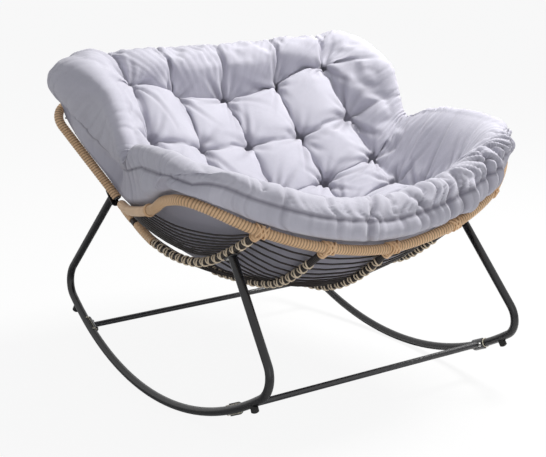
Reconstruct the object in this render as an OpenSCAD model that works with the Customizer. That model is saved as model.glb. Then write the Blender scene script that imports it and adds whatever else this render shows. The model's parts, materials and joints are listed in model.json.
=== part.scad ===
// Padded rocking chair: two steel rockers, a wound basket frame and one loose tufted cushion.
// Millimetres. X runs across the seat, the sitter faces -Y, Z is up, the floor is Z = 0.
// Right means +X: the right-hand side as seen from the front.

/* [Rockers] */
// Outer diameter of the rocker tube
rocker_d = 22; // [18:1:28]
// Wall of the rocker tube
rocker_wall = 1.5; // [1:0.5:3]
// Rolling radius at the tube's centre line
rolling_r = 898; // [800:1:1000]
// Half of the angle that the rolled arc spans
arc_half_angle = 33.3; // [31:0.1:35]
// Radius of the bend from the arc up into each leg
leg_bend_r = 60; // [45:1:80]
// Lean of both legs from upright
leg_lean = 40; // [37:0.5:42]
// Distance between the rockers' centre lines at the floor
rocker_track = 845; // [800:1:900]
// Inward lean of each rocker
rocker_tilt = 6.3; // [4:0.1:8]
// Height of the front leg's top
front_leg_h = 464; // [450:1:475]
// Height of the rear leg's top
rear_leg_h = 490; // [478:1:500]

/* [Crossbars] */
// Outer diameter of the crossbars
crossbar_d = 16; // [14:1:20]
// Angle along the arc from its lowest point to each crossbar
crossbar_angle = 25.2; // [22:0.1:27]
// Length of the curved saddle plate on a crossbar's end
saddle_len = 46; // [36:1:60]
// Thickness of the saddle plates
saddle_t = 3; // [2:0.5:4]
// Thickness of the nylon liner under each saddle plate
liner_t = 1.5; // [1:0.5:3]
// Angle along the arc from its lowest point to each stopper
stopper_angle = 31; // [29.5:0.1:31.5]
// Diameter of the rubber stoppers
stopper_d = 20; // [14:1:24]
// Height of the rubber stoppers
stopper_h = 15; // [10:1:20]

/* [Basket frame] */
// Outer diameter of the rim and hoop tubes
rim_d = 20; // [16:1:22]
// Wall of the rim and hoop tubes
rim_wall = 1.5; // [1:0.5:2.5]
// Thickness of the rattan winding on rim and hoop
wrap_t = 3.7; // [2.5:0.1:5]
// Diameter of the dark wound ribs
rib_d = 19; // [14:1:22]
// Diameter of a single rattan strand
strand_d = 5; // [4:0.5:6]
// Spacing of the strands along the ribs
strand_pitch = 27; // [24:1:40]
// Height of the rim at the middle of the front
rim_front_h = 464; // [440:1:490]
// Height of the rim at the front corners
rim_corner_h = 619; // [600:1:640]
// Reach of the rim in front of the rockers' lowest point
rim_front_y = 482; // [460:1:490]
// Half of the rim's width at the front corners
rim_corner_x = 510; // [490:1:530]
// Lowest point of the seat basket
basket_low_h = 266; // [250:1:290]
// Lean of the back from upright
back_lean = 45; // [42:0.5:48]
// Distance up the hoop from the rim's junction to the rear leg's seat
junction_drop = 22; // [16:1:28]
// Length of the hoop's sides from the junction to the top bar
hoop_rise = 340; // [320:1:360]
// Outward lean of the hoop's sides in its plane
hoop_splay = 15.5; // [13:0.5:18]
// Bend radius of the hoop's top corners
hoop_bend_r = 60; // [50:1:80]

/* [Cushion] */
// Height of the boxing band above the frame at the front and the top
boxing_h = 88; // [76:1:98]
// How far the boxing overhangs the frame there
overhang = 14; // [8:1:20]
// Rise of each pillow above its tufts
pillow_rise = 46; // [36:1:54]
// Swell of the rolls' inner flanks
flank_swell = 34; // [24:1:42]
// Swell of the rolls' outer flanks along the arms and the front
outer_swell = 16; // [8:1:22]
// Swell of the rolls' outer flanks round the back
back_swell = 30; // [20:1:36]
// Depth of the notches where the channels cross a roll's crest
notch = 12; // [6:1:16]
// Bulge of the boxing band at its middle
band_bulge = 10; // [4:1:14]
// Wall round the hollow of the back, which stands for its light fibre fill
back_wall = 20; // [18:1:30]

/* [Hardware] */
// Thread diameter of the frame bolts
bolt_d = 6; // [5:1:8]
// Diameter of the domed bolt heads
bolt_head_d = 13; // [10:1:16]

/* [Hidden] */
// Running clearance between pieces that only touch
fit = 0.3;
// Faces round a tube and round a long arc
tube_fn = 32;
arc_fn = 180;
// Sides of the swept tubes, ribs and strands
rim_sides = 10;
rib_sides = 10;
strand_sides = 5;
RATTAN = [0.80, 0.64, 0.46];
DARK = [0.14, 0.11, 0.11];
STEEL = [0.16, 0.16, 0.18];
CLOTH = [0.76, 0.75, 0.81];

rocker_r = rocker_d / 2;
rim_r = rim_d / 2;
wrap_r = rim_r + fit + wrap_t;
rib_r = rib_d / 2;
strand_r = strand_d / 2;
bend_turn = 90 + leg_lean - arc_half_angle;
// Where the bend leaves the arc's side and becomes the leg, in the rocker's own plane
bend_end = [(rolling_r - leg_bend_r) * sin(arc_half_angle) + leg_bend_r * cos(leg_lean),
            rolling_r - (rolling_r - leg_bend_r) * cos(arc_half_angle) + leg_bend_r * sin(leg_lean)];

// Vector helpers
function unit(v) = v / norm(v);
function mix(a, b, t) = a + (b - a) * t;
function flip_x(p) = [-p[0], p[1], p[2]];
function clamp(v, low, high) = min(max(v, low), high);

// Catmull-Rom spline through p: t runs from 0 to len(p) - 1, before and after steer the two ends
function guided_spline(before, p, after, t) =
    let (n = len(p), i = clamp(floor(t), 0, n - 2), f = t - i,
         a = i == 0 ? before : p[i - 1], b = p[i], c = p[i + 1], d = i == n - 2 ? after : p[i + 2])
    0.5 * (2 * b + (c - a) * f + (2 * a - 5 * b + 4 * c - d) * f * f + (3 * b - a - 3 * c + d) * f * f * f);
function spline(p, t) =
    let (n = len(p)) guided_spline(2 * p[0] - p[1], p, 2 * p[n - 1] - p[n - 2], t);

// One ring of a swept tube, square to the run and upright
function tangent(run, k) = unit(run[min(k + 1, len(run) - 1)] - run[max(k - 1, 0)]);
function ring(run, k, r, sides) =
    let (t = tangent(run, k), side = unit(cross(t, [0, 0, 1])), up = cross(side, t))
    [for (j = [0:sides - 1]) run[k] + r * (cos(360 * j / sides) * side + sin(360 * j / sides) * up)];
function band_faces(rows, sides, start, out) =
    [for (k = [0:rows - 2], j = [0:sides - 1])
        let (a = start + k * sides + j, b = start + k * sides + (j + 1) % sides,
             quad = [a, b, b + sides, a + sides])
        each (out ? [[quad[0], quad[1], quad[2]], [quad[0], quad[2], quad[3]]]
                  : [[quad[0], quad[2], quad[1]], [quad[0], quad[3], quad[2]]])];

// Solid rod swept along a run of points
module rod(run, r, sides) {
    n = len(run);
    points = [for (k = [0:n - 1]) each ring(run, k, r, sides)];
    first = [for (j = [sides - 1:-1:0]) j];
    last = [for (j = [0:sides - 1]) (n - 1) * sides + j];
    polyhedron(points, concat(band_faces(n, sides, 0, true), [first], [last]), convexity = 10);
}

// Open tube swept along a run of points
module pipe(run, r_out, r_in, sides) {
    n = len(run);
    outer = [for (k = [0:n - 1]) each ring(run, k, r_out, sides)];
    inner = [for (k = [0:n - 1]) each ring(run, k, r_in, sides)];
    m = n * sides;
    ends = [for (j = [0:sides - 1])
        let (b = (j + 1) % sides, far = (n - 1) * sides)
        each [[j, m + j, m + b], [j, m + b, b],
              [far + j, m + far + b, m + far + j], [far + j, far + b, m + far + b]]];
    polyhedron(concat(outer, inner),
               concat(band_faces(n, sides, 0, true), band_faces(n, sides, m, false), ends),
               convexity = 10);
}

// Tube bender: each step is [0, length] for a straight or [radius, turn] for a bend to the left
module bent_tube(steps, d, wall, i = 0) {
    if (i < len(steps)) {
        step = steps[i];
        if (step[0] == 0) {
            rotate([0, 90, 0]) difference() {
                cylinder(d = d, h = step[1], $fn = tube_fn);
                translate([0, 0, -1]) cylinder(d = d - 2 * wall, h = step[1] + 2, $fn = tube_fn);
            }
            translate([step[1], 0, 0]) bent_tube(steps, d, wall, i + 1);
        } else {
            translate([0, step[0], 0]) {
                rotate([0, 0, -90]) rotate_extrude(angle = step[1], $fn = arc_fn)
                    translate([step[0], 0]) difference() {
                        circle(d = d, $fn = tube_fn);
                        circle(d = d - 2 * wall, $fn = tube_fn);
                    }
                rotate([0, 0, step[1]]) translate([0, -step[0], 0]) bent_tube(steps, d, wall, i + 1);
            }
        }
    }
}

// The rocker's own plane: u runs towards the rear, w up along the tilted plane from the arc's bottom
module on_side(side) {
    mirror([side < 0 ? 1 : 0, 0, 0])
        translate([rocker_track / 2, 0, rocker_r]) rotate([0, -rocker_tilt, 0]) children();
}
function side_point(u, w) =
    [rocker_track / 2 - w * sin(rocker_tilt), u, rocker_r + w * cos(rocker_tilt)];
// Draws children in the rocker's plane with local X along u, Y along w and Z across
module in_plane() { rotate([90, 0, 90]) children(); }
// Moves children to a place on the arc, Y pointing along it and Z towards the rolling centre
module on_arc(angle) {
    translate([0, rolling_r * sin(angle), rolling_r * (1 - cos(angle))]) rotate([angle, 0, 0]) children();
}

// Leg tops: end = -1 is the front leg, 1 the rear leg
function leg_w(end) = ((end < 0 ? front_leg_h : rear_leg_h) - rocker_r) / cos(rocker_tilt);
function leg_u(end) = end * (bend_end[0] - (leg_w(end) - bend_end[1]) * tan(leg_lean));
function leg_len(end) = (leg_w(end) - bend_end[1]) / cos(leg_lean);
function leg_top(end) = side_point(leg_u(end), leg_w(end));
function leg_dir(end) =
    unit([-cos(leg_lean) * sin(rocker_tilt), -end * sin(leg_lean), cos(leg_lean) * cos(rocker_tilt)]);
// Centre lines of the tubes that the legs carry
function carried(end, r) = leg_top(end) + leg_dir(end) * (r + saddle_t + 2 * fit);
front_seat = carried(-1, rib_r);
rear_seat = carried(1, wrap_r);

rail_x = front_seat[0];

// Back plane through the rear seats: q runs up the back from the junction of rim, rail and hoop
back_dir = [0, sin(back_lean), cos(back_lean)];
junction = rear_seat - junction_drop * (back_dir + [tan(hoop_splay), 0, 0]);
junction_x = junction[0];
function on_back(x, q) = [x, junction[1], junction[2]] + back_dir * q;

// Straight sides and top bar of the hoop between its two bends
hoop_side_len = (hoop_rise - hoop_bend_r * (1 + sin(hoop_splay))) / cos(hoop_splay);
hoop_bar_half = junction_x + hoop_side_len * sin(hoop_splay) - hoop_bend_r * cos(hoop_splay);
hoop_top_x = hoop_bar_half + hoop_bend_r;

// Guide surface of the basket: columns across (middle, rib, rail, edge), rows from the front rim to the top bar
rib_x = 202;
rim_rise = rim_corner_h - rim_front_h;
guide_rows = [
    [[0, -rim_front_y, rim_front_h], [rib_x, -rim_front_y - 2, rim_front_h + 0.2 * rim_rise],
     [rail_x, -rim_front_y + 38, rim_front_h + 0.57 * rim_rise], [rim_corner_x - 14, -352, rim_corner_h]],
    [[0, -349, basket_low_h + 93], [rib_x, -310, basket_low_h + 108],
     front_seat, [rim_corner_x + 2, -250, rim_corner_h - 10]],
    [[0, -217, basket_low_h + 30], [rib_x, -190, basket_low_h + 68],
     [rail_x, -180, front_seat[2] - 58], [rim_corner_x - 17, -150, rim_corner_h - 54]],
    [[0, -76, basket_low_h + 10], [rib_x, -60, basket_low_h + 54],
     [rail_x, -60, front_seat[2] - 74], [rim_corner_x - 53, -10, rim_corner_h - 94]],
    [[0, 20, basket_low_h], [rib_x, 40, basket_low_h + 50],
     [rail_x, 60, front_seat[2] - 62], [rim_corner_x - 91, 120, rim_corner_h - 120]],
    [on_back(0, -262), on_back(rib_x, -200),
     [(rail_x + junction_x) / 2, 168, junction[2] - 45], on_back(junction_x + 4, 2)],
    [on_back(0, -70), on_back(rib_x, -40), on_back(junction_x, 0), on_back(junction_x + 70 * tan(hoop_splay), 70)],
    [on_back(0, 130), on_back(rib_x, 140), on_back(junction_x + 8, 165),
     on_back(junction_x + 205 * tan(hoop_splay), 205)],
    [on_back(0, hoop_rise), on_back(rib_x, hoop_rise), on_back(junction_x - 8, hoop_rise - 10),
     on_back(hoop_top_x - 14, hoop_rise - 32)]];
row_count = len(guide_rows) - 1;
// Point on the guide: a runs from -3 to 3 across, v from 0 to 8 from front to top
function mirrored(row) = let (n = len(row) - 1) [for (c = [-n:n]) c < 0 ? flip_x(row[-c]) : row[c]];
function across(row, a) = spline(mirrored(row), a + len(row) - 1);
// The edge column turns smoothly into the front edge and the top bar at its corners
function edge_at(v) =
    guided_spline(guide_rows[0][2], [for (r = guide_rows) r[3]], guide_rows[row_count][2], v);
function guide_row(v) =
    [for (c = [0:3]) c == 3 ? edge_at(v) : spline([for (r = guide_rows) r[c]], v)];
function guide(a, v) =
    let (row = guide_row(v), free_end = 2 * row[3] - row[2],
         after = v < 1 ? mix(edge_at(v + 1), free_end, v)
               : v > row_count - 1 ? mix(edge_at(v - 1), free_end, row_count - v) : free_end)
    guided_spline(flip_x(after), mirrored(row), after, a + 3);
function guide_normal(a, v) =
    let (e = 0.02, du = guide(min(a + e, 3), v) - guide(max(a - e, -3), v),
         dv = guide(a, min(v + e, row_count)) - guide(a, max(v - e, 0)), n = cross(du, dv))
    unit(n);
function lifted(a, v, h) = guide(a, v) + h * guide_normal(a, v);

// Centre lines of the swept pieces, all worked out from the guide
crossrail_r = crossbar_d / 2 - 1;
function edge_speed(v) = norm(edge_at(v + 0.01) - edge_at(v - 0.01)) / 0.02;
function across_speed(a, v) = norm(guide(a + 0.01, v) - guide(a - 0.01, v)) / 0.02;
function along_speed(a, v) = norm(guide(a, v + 0.01) - guide(a, v - 0.01)) / 0.02;
function part_run(run, from, to) = [for (k = [from:to]) run[k]];

// Distance from a point to a run of points joined by straight lines
function line_gap(p, a, b) = norm(p - mix(a, b, clamp((p - a) * (b - a) / ((b - a) * (b - a)), 0, 1)));
function run_gap(p, run) = min([for (k = [1:len(run) - 1]) line_gap(p, run[k - 1], run[k])]);

// Ribs run on the guide from just inside the rim to the lower crossrail, then up to the top bar
// A rib that meets a tube at a slant needs more room for the corner of its end
function along_dir(a, v) = unit(guide(a, v + 0.01) - guide(a, v - 0.01));
function across_dir(a, v) = unit(guide(a + 0.01, v) - guide(a - 0.01, v));
function end_room(a, v, tube_r, r) =
    let (slant = abs(along_dir(a, v) * across_dir(a, v))) (tube_r + 2 * fit + r * slant) / sqrt(1 - slant * slant);
function crossing_v(a) = 4.45 + 0.19 * a * a;
rib_gap = 1.5;
function rib_start(a) = end_room(a, 0.05, wrap_r, rib_r) / along_speed(a, 0.05);
function rib_end(a) = row_count - end_room(a, row_count - 0.05, wrap_r, rib_r) / along_speed(a, row_count - 0.05);
function guide_run(a, v_from, v_to, steps) = [for (k = [0:steps]) guide(a, mix(v_from, v_to, k / steps))];
function seat_rib_run(a) = guide_run(a, rib_start(a), crossing_v(a) - rib_gap / along_speed(a, 4.4), 22);
function back_rib_run(a) = guide_run(a, crossing_v(a) + rib_gap / along_speed(a, 4.6), rib_end(a), 12);
rail_end_v = 6 - rib_gap / along_speed(2, 5.9);
rail_run = guide_run(2, rib_start(2), rail_end_v, 30);

// The rim follows the front edge, then the sides down to the junction, where it ends beside the rail's sleeve
plain_from_v = 2.25;
sleeve_t = 3;
sleeve_r = rib_r + fit + sleeve_t;
function last_clear_v(gap) = max([for (v = [4:0.01:5]) if (run_gap(edge_at(v), rail_run) > gap) v]);
wrap_end_v = last_clear_v(wrap_r + sleeve_r + 3 * fit);
rim_end_v = wrap_end_v + 2 / edge_speed(wrap_end_v);
function rim_side(v_from, v_to, steps) = [for (k = [0:steps]) edge_at(mix(v_from, v_to, k / steps))];
rim_front_half = [for (a = [0.25:0.25:2.75]) guide(a, 0)];
rim_to_plain = rim_side(0, plain_from_v, 9);
rim_half = concat(rim_front_half, rim_to_plain);
function both_ways(half, middle) =
    concat([for (k = [len(half) - 1:-1:0]) flip_x(half[k])], [middle], half);
arm_half = rim_side(plain_from_v, wrap_end_v, 9);
rim_path = both_ways(concat(rim_half, part_run(arm_half, 1, 9), [edge_at(rim_end_v)]), guide(0, 0));
winding_path = both_ways(rim_half, guide(0, 0));
arm_path = concat([edge_at(plain_from_v + 0.01)], part_run(arm_half, 1, 9));

// The hoop: splayed straight sides, two bends and the top bar, all in the back plane
// It starts a little above the junction, so that its slanted end clears the rail's
hoop_start = wrap_r * tan(hoop_splay);
hoop_bend_steps = 8;
function hoop_side_at(d) = on_back(junction_x + d * sin(hoop_splay), d * cos(hoop_splay));
hoop_half = concat(
    [for (k = [0:hoop_bend_steps])
        let (turn = mix(90, -hoop_splay, k / hoop_bend_steps))
        on_back(hoop_bar_half + hoop_bend_r * cos(turn), hoop_rise - hoop_bend_r * (1 - sin(turn)))],
    [hoop_side_at(hoop_side_len / 2), hoop_side_at(hoop_start)]);
hoop_path = both_ways(hoop_half, on_back(0, hoop_rise));

// The crossrail passes under the ribs where seat and back meet, and rises to the side rails at its ends
function crossrail_drop(a) = (rib_r + fit + crossrail_r) * (1 - pow(abs(a) / 2, 6));
crossrail_reach = 2 - end_room(2, crossing_v(2), sleeve_r, crossrail_r) / across_speed(2, crossing_v(2));
crossrail_run = [for (k = [-12:12])
    let (a = crossrail_reach * k / 12) lifted(a, crossing_v(a), -crossrail_drop(a))];

// Strands: each runs over the guide from (a, v) to (a, v), a little above the ribs' centre lines
strand_lift = rib_r - strand_d;
strand_count = 9;
first_strand_v = 0.3;
strand_step_v = strand_pitch / along_speed(1, 1);
function strand_v(k) = first_strand_v + strand_step_v * k;
function rib_clear(a, v) = (rib_r + 1.5 * fit) / across_speed(a, v);
function strand_run(a1, v1, a2, v2, steps) =
    [for (k = [0:steps]) let (f = k / steps) lifted(mix(a1, a2, f), mix(v1, v2, f), strand_lift)];
module strand(a1, v1, a2, v2, steps) {
    rod(strand_run(a1, v1, a2, v2, steps), strand_r, strand_sides);
}

// Rockers with a flange on each leg for the carried tube
flange_half = 31;
flange_w = 24;
flange_bolt = 20;
function rail_tangent() = unit(guide(2, 1.02) - guide(2, 0.98));
// Frame at a leg's top: local Z points from the leg to the carried tube, local X along that tube
function seat_centre(end) = end < 0 ? front_seat : rear_seat;
function seat_r(end) = end < 0 ? rib_r : wrap_r;
function seat_pitch(end) = end < 0 ? atan2(rail_tangent()[2], rail_tangent()[1]) : 90 - back_lean;
module at_seat(end) {
    translate(seat_centre(end)) rotate([seat_pitch(end), 0, 0]) rotate([0, 0, 90])
        translate([0, 0, -seat_r(end) - fit]) children();
}
module flange(end) {
    at_seat(end) translate([0, 0, -saddle_t]) difference() {
        union() {
            translate([-flange_half + flange_w / 2, -flange_w / 2, 0])
                cube([2 * flange_half - flange_w, flange_w, saddle_t]);
            for (x = [-1, 1]) translate([x * (flange_half - flange_w / 2), 0, 0])
                cylinder(d = flange_w, h = saddle_t, $fn = tube_fn);
        }
        translate([flange_bolt, 0, -1]) cylinder(d = bolt_d + 2 * fit, h = saddle_t + 2, $fn = tube_fn);
    }
}
// Half space from the middle of a flange upward, to mitre the leg that is welded to it
module above_flange(end) {
    at_seat(end) translate([-leg_bend_r, -leg_bend_r, -saddle_t / 2]) cube(2 * leg_bend_r);
}
leg_extra = 12;
module rocker_shape() {
    difference() {
        on_side(1) translate([0, leg_u(-1), leg_w(-1)]) in_plane() rotate([0, 0, 270 - leg_lean])
            translate([-leg_extra, 0, 0])
            bent_tube([[0, leg_len(-1) + leg_extra], [leg_bend_r, bend_turn], [rolling_r, 2 * arc_half_angle],
                       [leg_bend_r, bend_turn], [0, leg_len(1) + leg_extra]], rocker_d, rocker_wall);
        above_flange(-1);
        above_flange(1);
        for (end = [-1, 1]) on_side(1) saddle_bolt_holes(end);
    }
    flange(-1);
    flange(1);
}
module rocker_right() { color(STEEL) rocker_shape(); }
module rocker_left() { color(STEEL) mirror([1, 0, 0]) rocker_shape(); }

// Pieces that hug the rocker at a crossbar: straight half sleeves, len long, centred at an offset along it
// Section angles: 0 is inboard, so a sleeve from -75 to 75 covers the inner half
module wedge(from, to, r) {
    turn = (to - from) / 4;
    polygon(concat([[0, 0]], [for (k = [0:4]) r * [cos(from + k * turn), sin(from + k * turn)]]));
}
module hug(offset, len, r_in, r_out, from, to) {
    translate([0, offset - len / 2, 0]) rotate([-90, 180, 0]) linear_extrude(len) difference() {
        circle(r = r_out, $fn = 2 * tube_fn);
        circle(r = r_in, $fn = 2 * tube_fn);
        wedge(to, from + 360, 3 * r_out);
    }
}
// The place of a saddle bolt: Z of the children points inboard, square to the rocker's plane
saddle_bolt_at = saddle_len / 2 - bolt_head_d / 2 - 1;
module saddle_bolt_place(end, at) {
    on_arc(end * crossbar_angle) translate([0, at * saddle_bolt_at, 0]) rotate([0, -90, 0]) children();
}
module saddle_bolt_holes(end) {
    for (at = [-1, 1]) saddle_bolt_place(end, at) cylinder(d = bolt_d + 2 * fit, h = 2 * saddle_r, $fn = tube_fn);
}
// The rocker curves away from a straight sleeve by this much at the sleeve's ends
hook_len = 3;
liner_len = saddle_len + 2 * hook_len;
sleeve_sag = pow(liner_len / 2, 2) / (2 * rolling_r);
liner_in_r = rocker_r + fit + sleeve_sag / 2;
liner_r = liner_in_r + liner_t;
saddle_r = liner_r + fit + saddle_t;
saddle_wrap = 75;
module at_crossbar(end) { on_arc(end * crossbar_angle) translate([0, 0, sleeve_sag / 2]) children(); }
module saddle(end) {
    difference() {
        at_crossbar(end) hug(0, saddle_len, liner_r + fit, saddle_r, -saddle_wrap, saddle_wrap);
        saddle_bolt_holes(end);
    }
}
crossbar_x = rocker_track / 2 - rolling_r * (1 - cos(crossbar_angle)) * sin(rocker_tilt);
crossbar_z = rocker_r + rolling_r * (1 - cos(crossbar_angle)) * cos(rocker_tilt);
crossbar_y = rolling_r * sin(crossbar_angle);
// Each bar's ends are coped to the saddle plates, halfway into them for the weld
module crossbar(end) {
    color(STEEL) {
        for (side = [-1, 1]) on_side(side) saddle(end);
        difference() {
            translate([-crossbar_x, end * crossbar_y, crossbar_z]) rotate([0, 90, 0]) difference() {
                cylinder(d = crossbar_d, h = 2 * crossbar_x, $fn = tube_fn);
                translate([0, 0, -1]) cylinder(d = crossbar_d - 2 * rocker_wall, h = 2 * crossbar_x + 2, $fn = tube_fn);
            }
            for (side = [-1, 1]) on_side(side) at_crossbar(end) rotate([90, 0, 0])
                cylinder(r = saddle_r - saddle_t / 2, h = saddle_len, center = true, $fn = 2 * tube_fn);
        }
    }
}
module crossbar_front() { crossbar(-1); }
module crossbar_rear() { crossbar(1); }

// Nylon liners: a half sleeve under each saddle, with a hook round the tube at each end
module liner(end) {
    difference() {
        at_crossbar(end) union() {
            hug(0, liner_len, liner_in_r, liner_r, -saddle_wrap, saddle_wrap);
            for (at = [-1, 1]) hug(at * (liner_len - hook_len) / 2, hook_len, liner_in_r, liner_r, -110, 110);
        }
        saddle_bolt_holes(end);
    }
}
module liners(end) { color("cornsilk") for (side = [-1, 1]) on_side(side) liner(end); }
module liners_front() { liners(-1); }
module liners_rear() { liners(1); }

// Domed bolt: head on local Z = 0 and above, shank below
module bolt(shank) {
    head_h = bolt_head_d * 0.32;
    intersection() {
        cylinder(d = bolt_head_d, h = head_h, $fn = tube_fn);
        translate([0, 0, head_h - bolt_head_d]) sphere(r = bolt_head_d, $fn = 64);
    }
    translate([0, 0, -shank]) cylinder(d = bolt_d, h = shank + 0.1, $fn = tube_fn);
}
module crossbar_bolts(end) {
    color("silver") for (side = [-1, 1], at = [-1, 1]) on_side(side) saddle_bolt_place(end, at)
        translate([0, 0, saddle_r + fit]) bolt(saddle_r - rocker_r + rocker_wall + 4);
}
module crossbar_bolts_front() { crossbar_bolts(-1); }
module crossbar_bolts_rear() { crossbar_bolts(1); }
// The leg bolts pass through the flange's free wing into the carried tube
module leg_bolt(end) {
    at_seat(end) translate([flange_bolt, 0, -saddle_t - fit]) mirror([0, 0, 1])
        bolt(saddle_t + 2 * fit + seat_r(end) * 0.7);
}
module leg_bolt_hole(end) {
    at_seat(end) translate([flange_bolt, 0, -1]) cylinder(d = bolt_d + 2 * fit, h = seat_r(end), $fn = 16);
}
module leg_bolts_front() { color("silver") for (m = [0, 1]) mirror([m, 0, 0]) leg_bolt(-1); }
module leg_bolts_rear() { color("silver") for (m = [0, 1]) mirror([m, 0, 0]) leg_bolt(1); }

// Rubber stoppers under the rockers' ends
module stopper(end) {
    on_arc(end * stopper_angle) rotate([180, 0, 0]) difference() {
        intersection() {
            cylinder(d = stopper_d, h = rocker_r + stopper_h, $fn = tube_fn);
            translate([0, 0, rocker_r + stopper_h - stopper_d * 0.75]) sphere(r = stopper_d * 0.75, $fn = 64);
        }
        rotate([90, 0, 0]) cylinder(r = rocker_r + 2 * fit, h = 2 * stopper_d, center = true, $fn = tube_fn);
    }
}
module stoppers(end) { color([0.1, 0.1, 0.1]) for (side = [-1, 1]) on_side(side) stopper(end); }
module stoppers_front() { stoppers(-1); }
module stoppers_rear() { stoppers(1); }

// Rim, hoop and their rattan
module rim_tube() { color(STEEL) pipe(rim_path, rim_r, rim_r - rim_wall, rim_sides); }
module rim_winding() { color(RATTAN) pipe(winding_path, wrap_r, rim_r + fit, rim_sides); }
module arm_wrap_right() { color(RATTAN) pipe(arm_path, wrap_r - 1, rim_r + fit, rim_sides); }
module arm_wrap_left() { mirror([1, 0, 0]) arm_wrap_right(); }
module hoop_holes() { for (m = [0, 1]) mirror([m, 0, 0]) leg_bolt_hole(1); }
module hoop_tube() {
    color(STEEL) difference() { pipe(hoop_path, rim_r, rim_r - rim_wall, rim_sides); hoop_holes(); }
}
module hoop_winding() {
    color(RATTAN) difference() { pipe(hoop_path, wrap_r, rim_r + fit, rim_sides); hoop_holes(); }
}

// Side rails with their tan sleeves and the dark coupling between seat and back
module side_rail_right() {
    color(DARK) difference() { rod(rail_run, rib_r, rib_sides); leg_bolt_hole(-1); }
}
module side_rail_left() { mirror([1, 0, 0]) side_rail_right(); }
sleeve_v = [4.0, 4.98, 5.12, 5.75];
module rail_sleeve(v_from, v_to, t) {
    pipe(guide_run(2, v_from, v_to, 6), rib_r + fit + t, rib_r + fit, rib_sides);
}
module rail_sleeves_right() {
    color(RATTAN) { rail_sleeve(sleeve_v[0], sleeve_v[1], sleeve_t); rail_sleeve(sleeve_v[2], sleeve_v[3], sleeve_t); }
}
module rail_sleeves_left() { mirror([1, 0, 0]) rail_sleeves_right(); }
module rail_coupling_right() {
    slack = 2 * fit / along_speed(2, 5);
    color(DARK) rail_sleeve(sleeve_v[1] + slack, sleeve_v[2] - slack, sleeve_t - 1);
}
module rail_coupling_left() { mirror([1, 0, 0]) rail_coupling_right(); }

module seat_rib(a) { color(DARK) rod(seat_rib_run(a), rib_r, rib_sides); }
module back_rib(a) { color(DARK) rod(back_rib_run(a), rib_r, rib_sides); }
module seat_rib_left() { seat_rib(-1); }
module seat_rib_centre() { seat_rib(0); }
module seat_rib_right() { seat_rib(1); }
module back_rib_left() { back_rib(-1); }
module back_rib_centre() { back_rib(0); }
module back_rib_right() { back_rib(1); }
module lower_crossrail() { color(STEEL) pipe(crossrail_run, crossrail_r, crossrail_r - rim_wall, rib_sides); }

// Side strands start under the plain arm wrap and sweep forward to the side rail
side_strand_from_v = 2.35;
side_strand_step_v = 0.25;
module strands_side_right() {
    color(DARK) for (k = [0:strand_count - 1]) {
        v1 = side_strand_from_v + side_strand_step_v * k;
        v2 = strand_v(k);
        rail_end = 2 + rib_clear(2, v2) + 2.5 * fit / across_speed(2, v2);
        strand(3 - (wrap_r + strand_d) / across_speed(2.98, v1), v1, rail_end, v2, 7);
    }
}
module strands_side_left() { mirror([1, 0, 0]) strands_side_right(); }
// Seat strands: close together near the rim, wider further back
wide_strands = [for (k = [1:4]) strand_v(strand_count - 1) + 2 * strand_step_v * k];
module strands_seat(a) {
    color(DARK) for (v = concat([for (k = [0:strand_count - 1]) strand_v(k)], wide_strands))
        strand(a + rib_clear(a, v), v, a + 1 - rib_clear(a + 1, v), v, 3);
}
module strands_seat_1() { strands_seat(-2); }
module strands_seat_2() { strands_seat(-1); }
module strands_seat_3() { strands_seat(0); }
module strands_seat_4() { strands_seat(1); }
back_strand_v = [5.3:0.4:7.7];
function last_clear_a(v) =
    max([for (a = [1.5:0.01:2.8]) if (run_gap(guide(a, v), hoop_half) > wrap_r + strand_r + fit) a]);
module strands_back_3() {
    color(DARK) for (v = back_strand_v) strand(rib_clear(0, v), v, 1 - rib_clear(1, v), v, 3);
}
module strands_back_4() {
    color(DARK) for (v = back_strand_v)
        strand(1 + rib_clear(1, v), v, v < 5.9 ? 2 - (sleeve_r + 3 * fit) / across_speed(2, v)
                                               : last_clear_a(v), v, 4);
}
module strands_back_1() { mirror([1, 0, 0]) strands_back_4(); }
module strands_back_2() { mirror([1, 0, 0]) strands_back_3(); }

// Cushion: a net of knots, 5 columns from the middle to the side seam and 10 rows from front seam to top seam
// Its knots are the seams, the crests of the rolls and, between them, the tufts
last_i = 4;
last_j = 9;
// Direction off the frame that leans forward by t degrees, and the one in which the boxing stands at v
function off_dir(t) = [0, -sin(t), cos(t)];
function boxing_dir(v) = off_dir(back_lean * clamp((v - 4.1) / 1.4, 0, 1));
// Front crest, six rows of tufts and top crest: each has the places along the guide of its middle, inner and
// outer knots, then their heights off the guide, then the lean of these heights
tuft_a = [0, 0.86, 1.78];
tuft_rows = [
    [[0.35, 0.3, 0.25], [146, 136, 124], 0],
    [[1, 0.8, 1], [92, 82, 94], 0],
    [[2, 1.85, 1.9], [115, 98, 109], 0],
    [[3, 2.9, 2.9], [137, 117, 126], 5],
    [[5.2, 4.9, 4.4], [157, 177, 168], 25],
    [[6.4, 6.3, 6.25], [144, 163, 218], back_lean],
    [[7.25, 7.3, 7.3], [139, 168, 228], back_lean],
    [[7.84, 7.84, 7.82], [230, 240, 248], back_lean]];
// Side seam: each row's place along the edge, height off it and overhang
side_seam = [[0, 42, 12], [0.55, 50, 12], [1.15, 74, 20], [2.3, 112, 18], [3.4, 112, 10],
             [4.6, 110, 10], [5.7, 120, 16], [6.8, 104, 20], [7.5, 92, 24], [8, 74, 30]];
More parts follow.
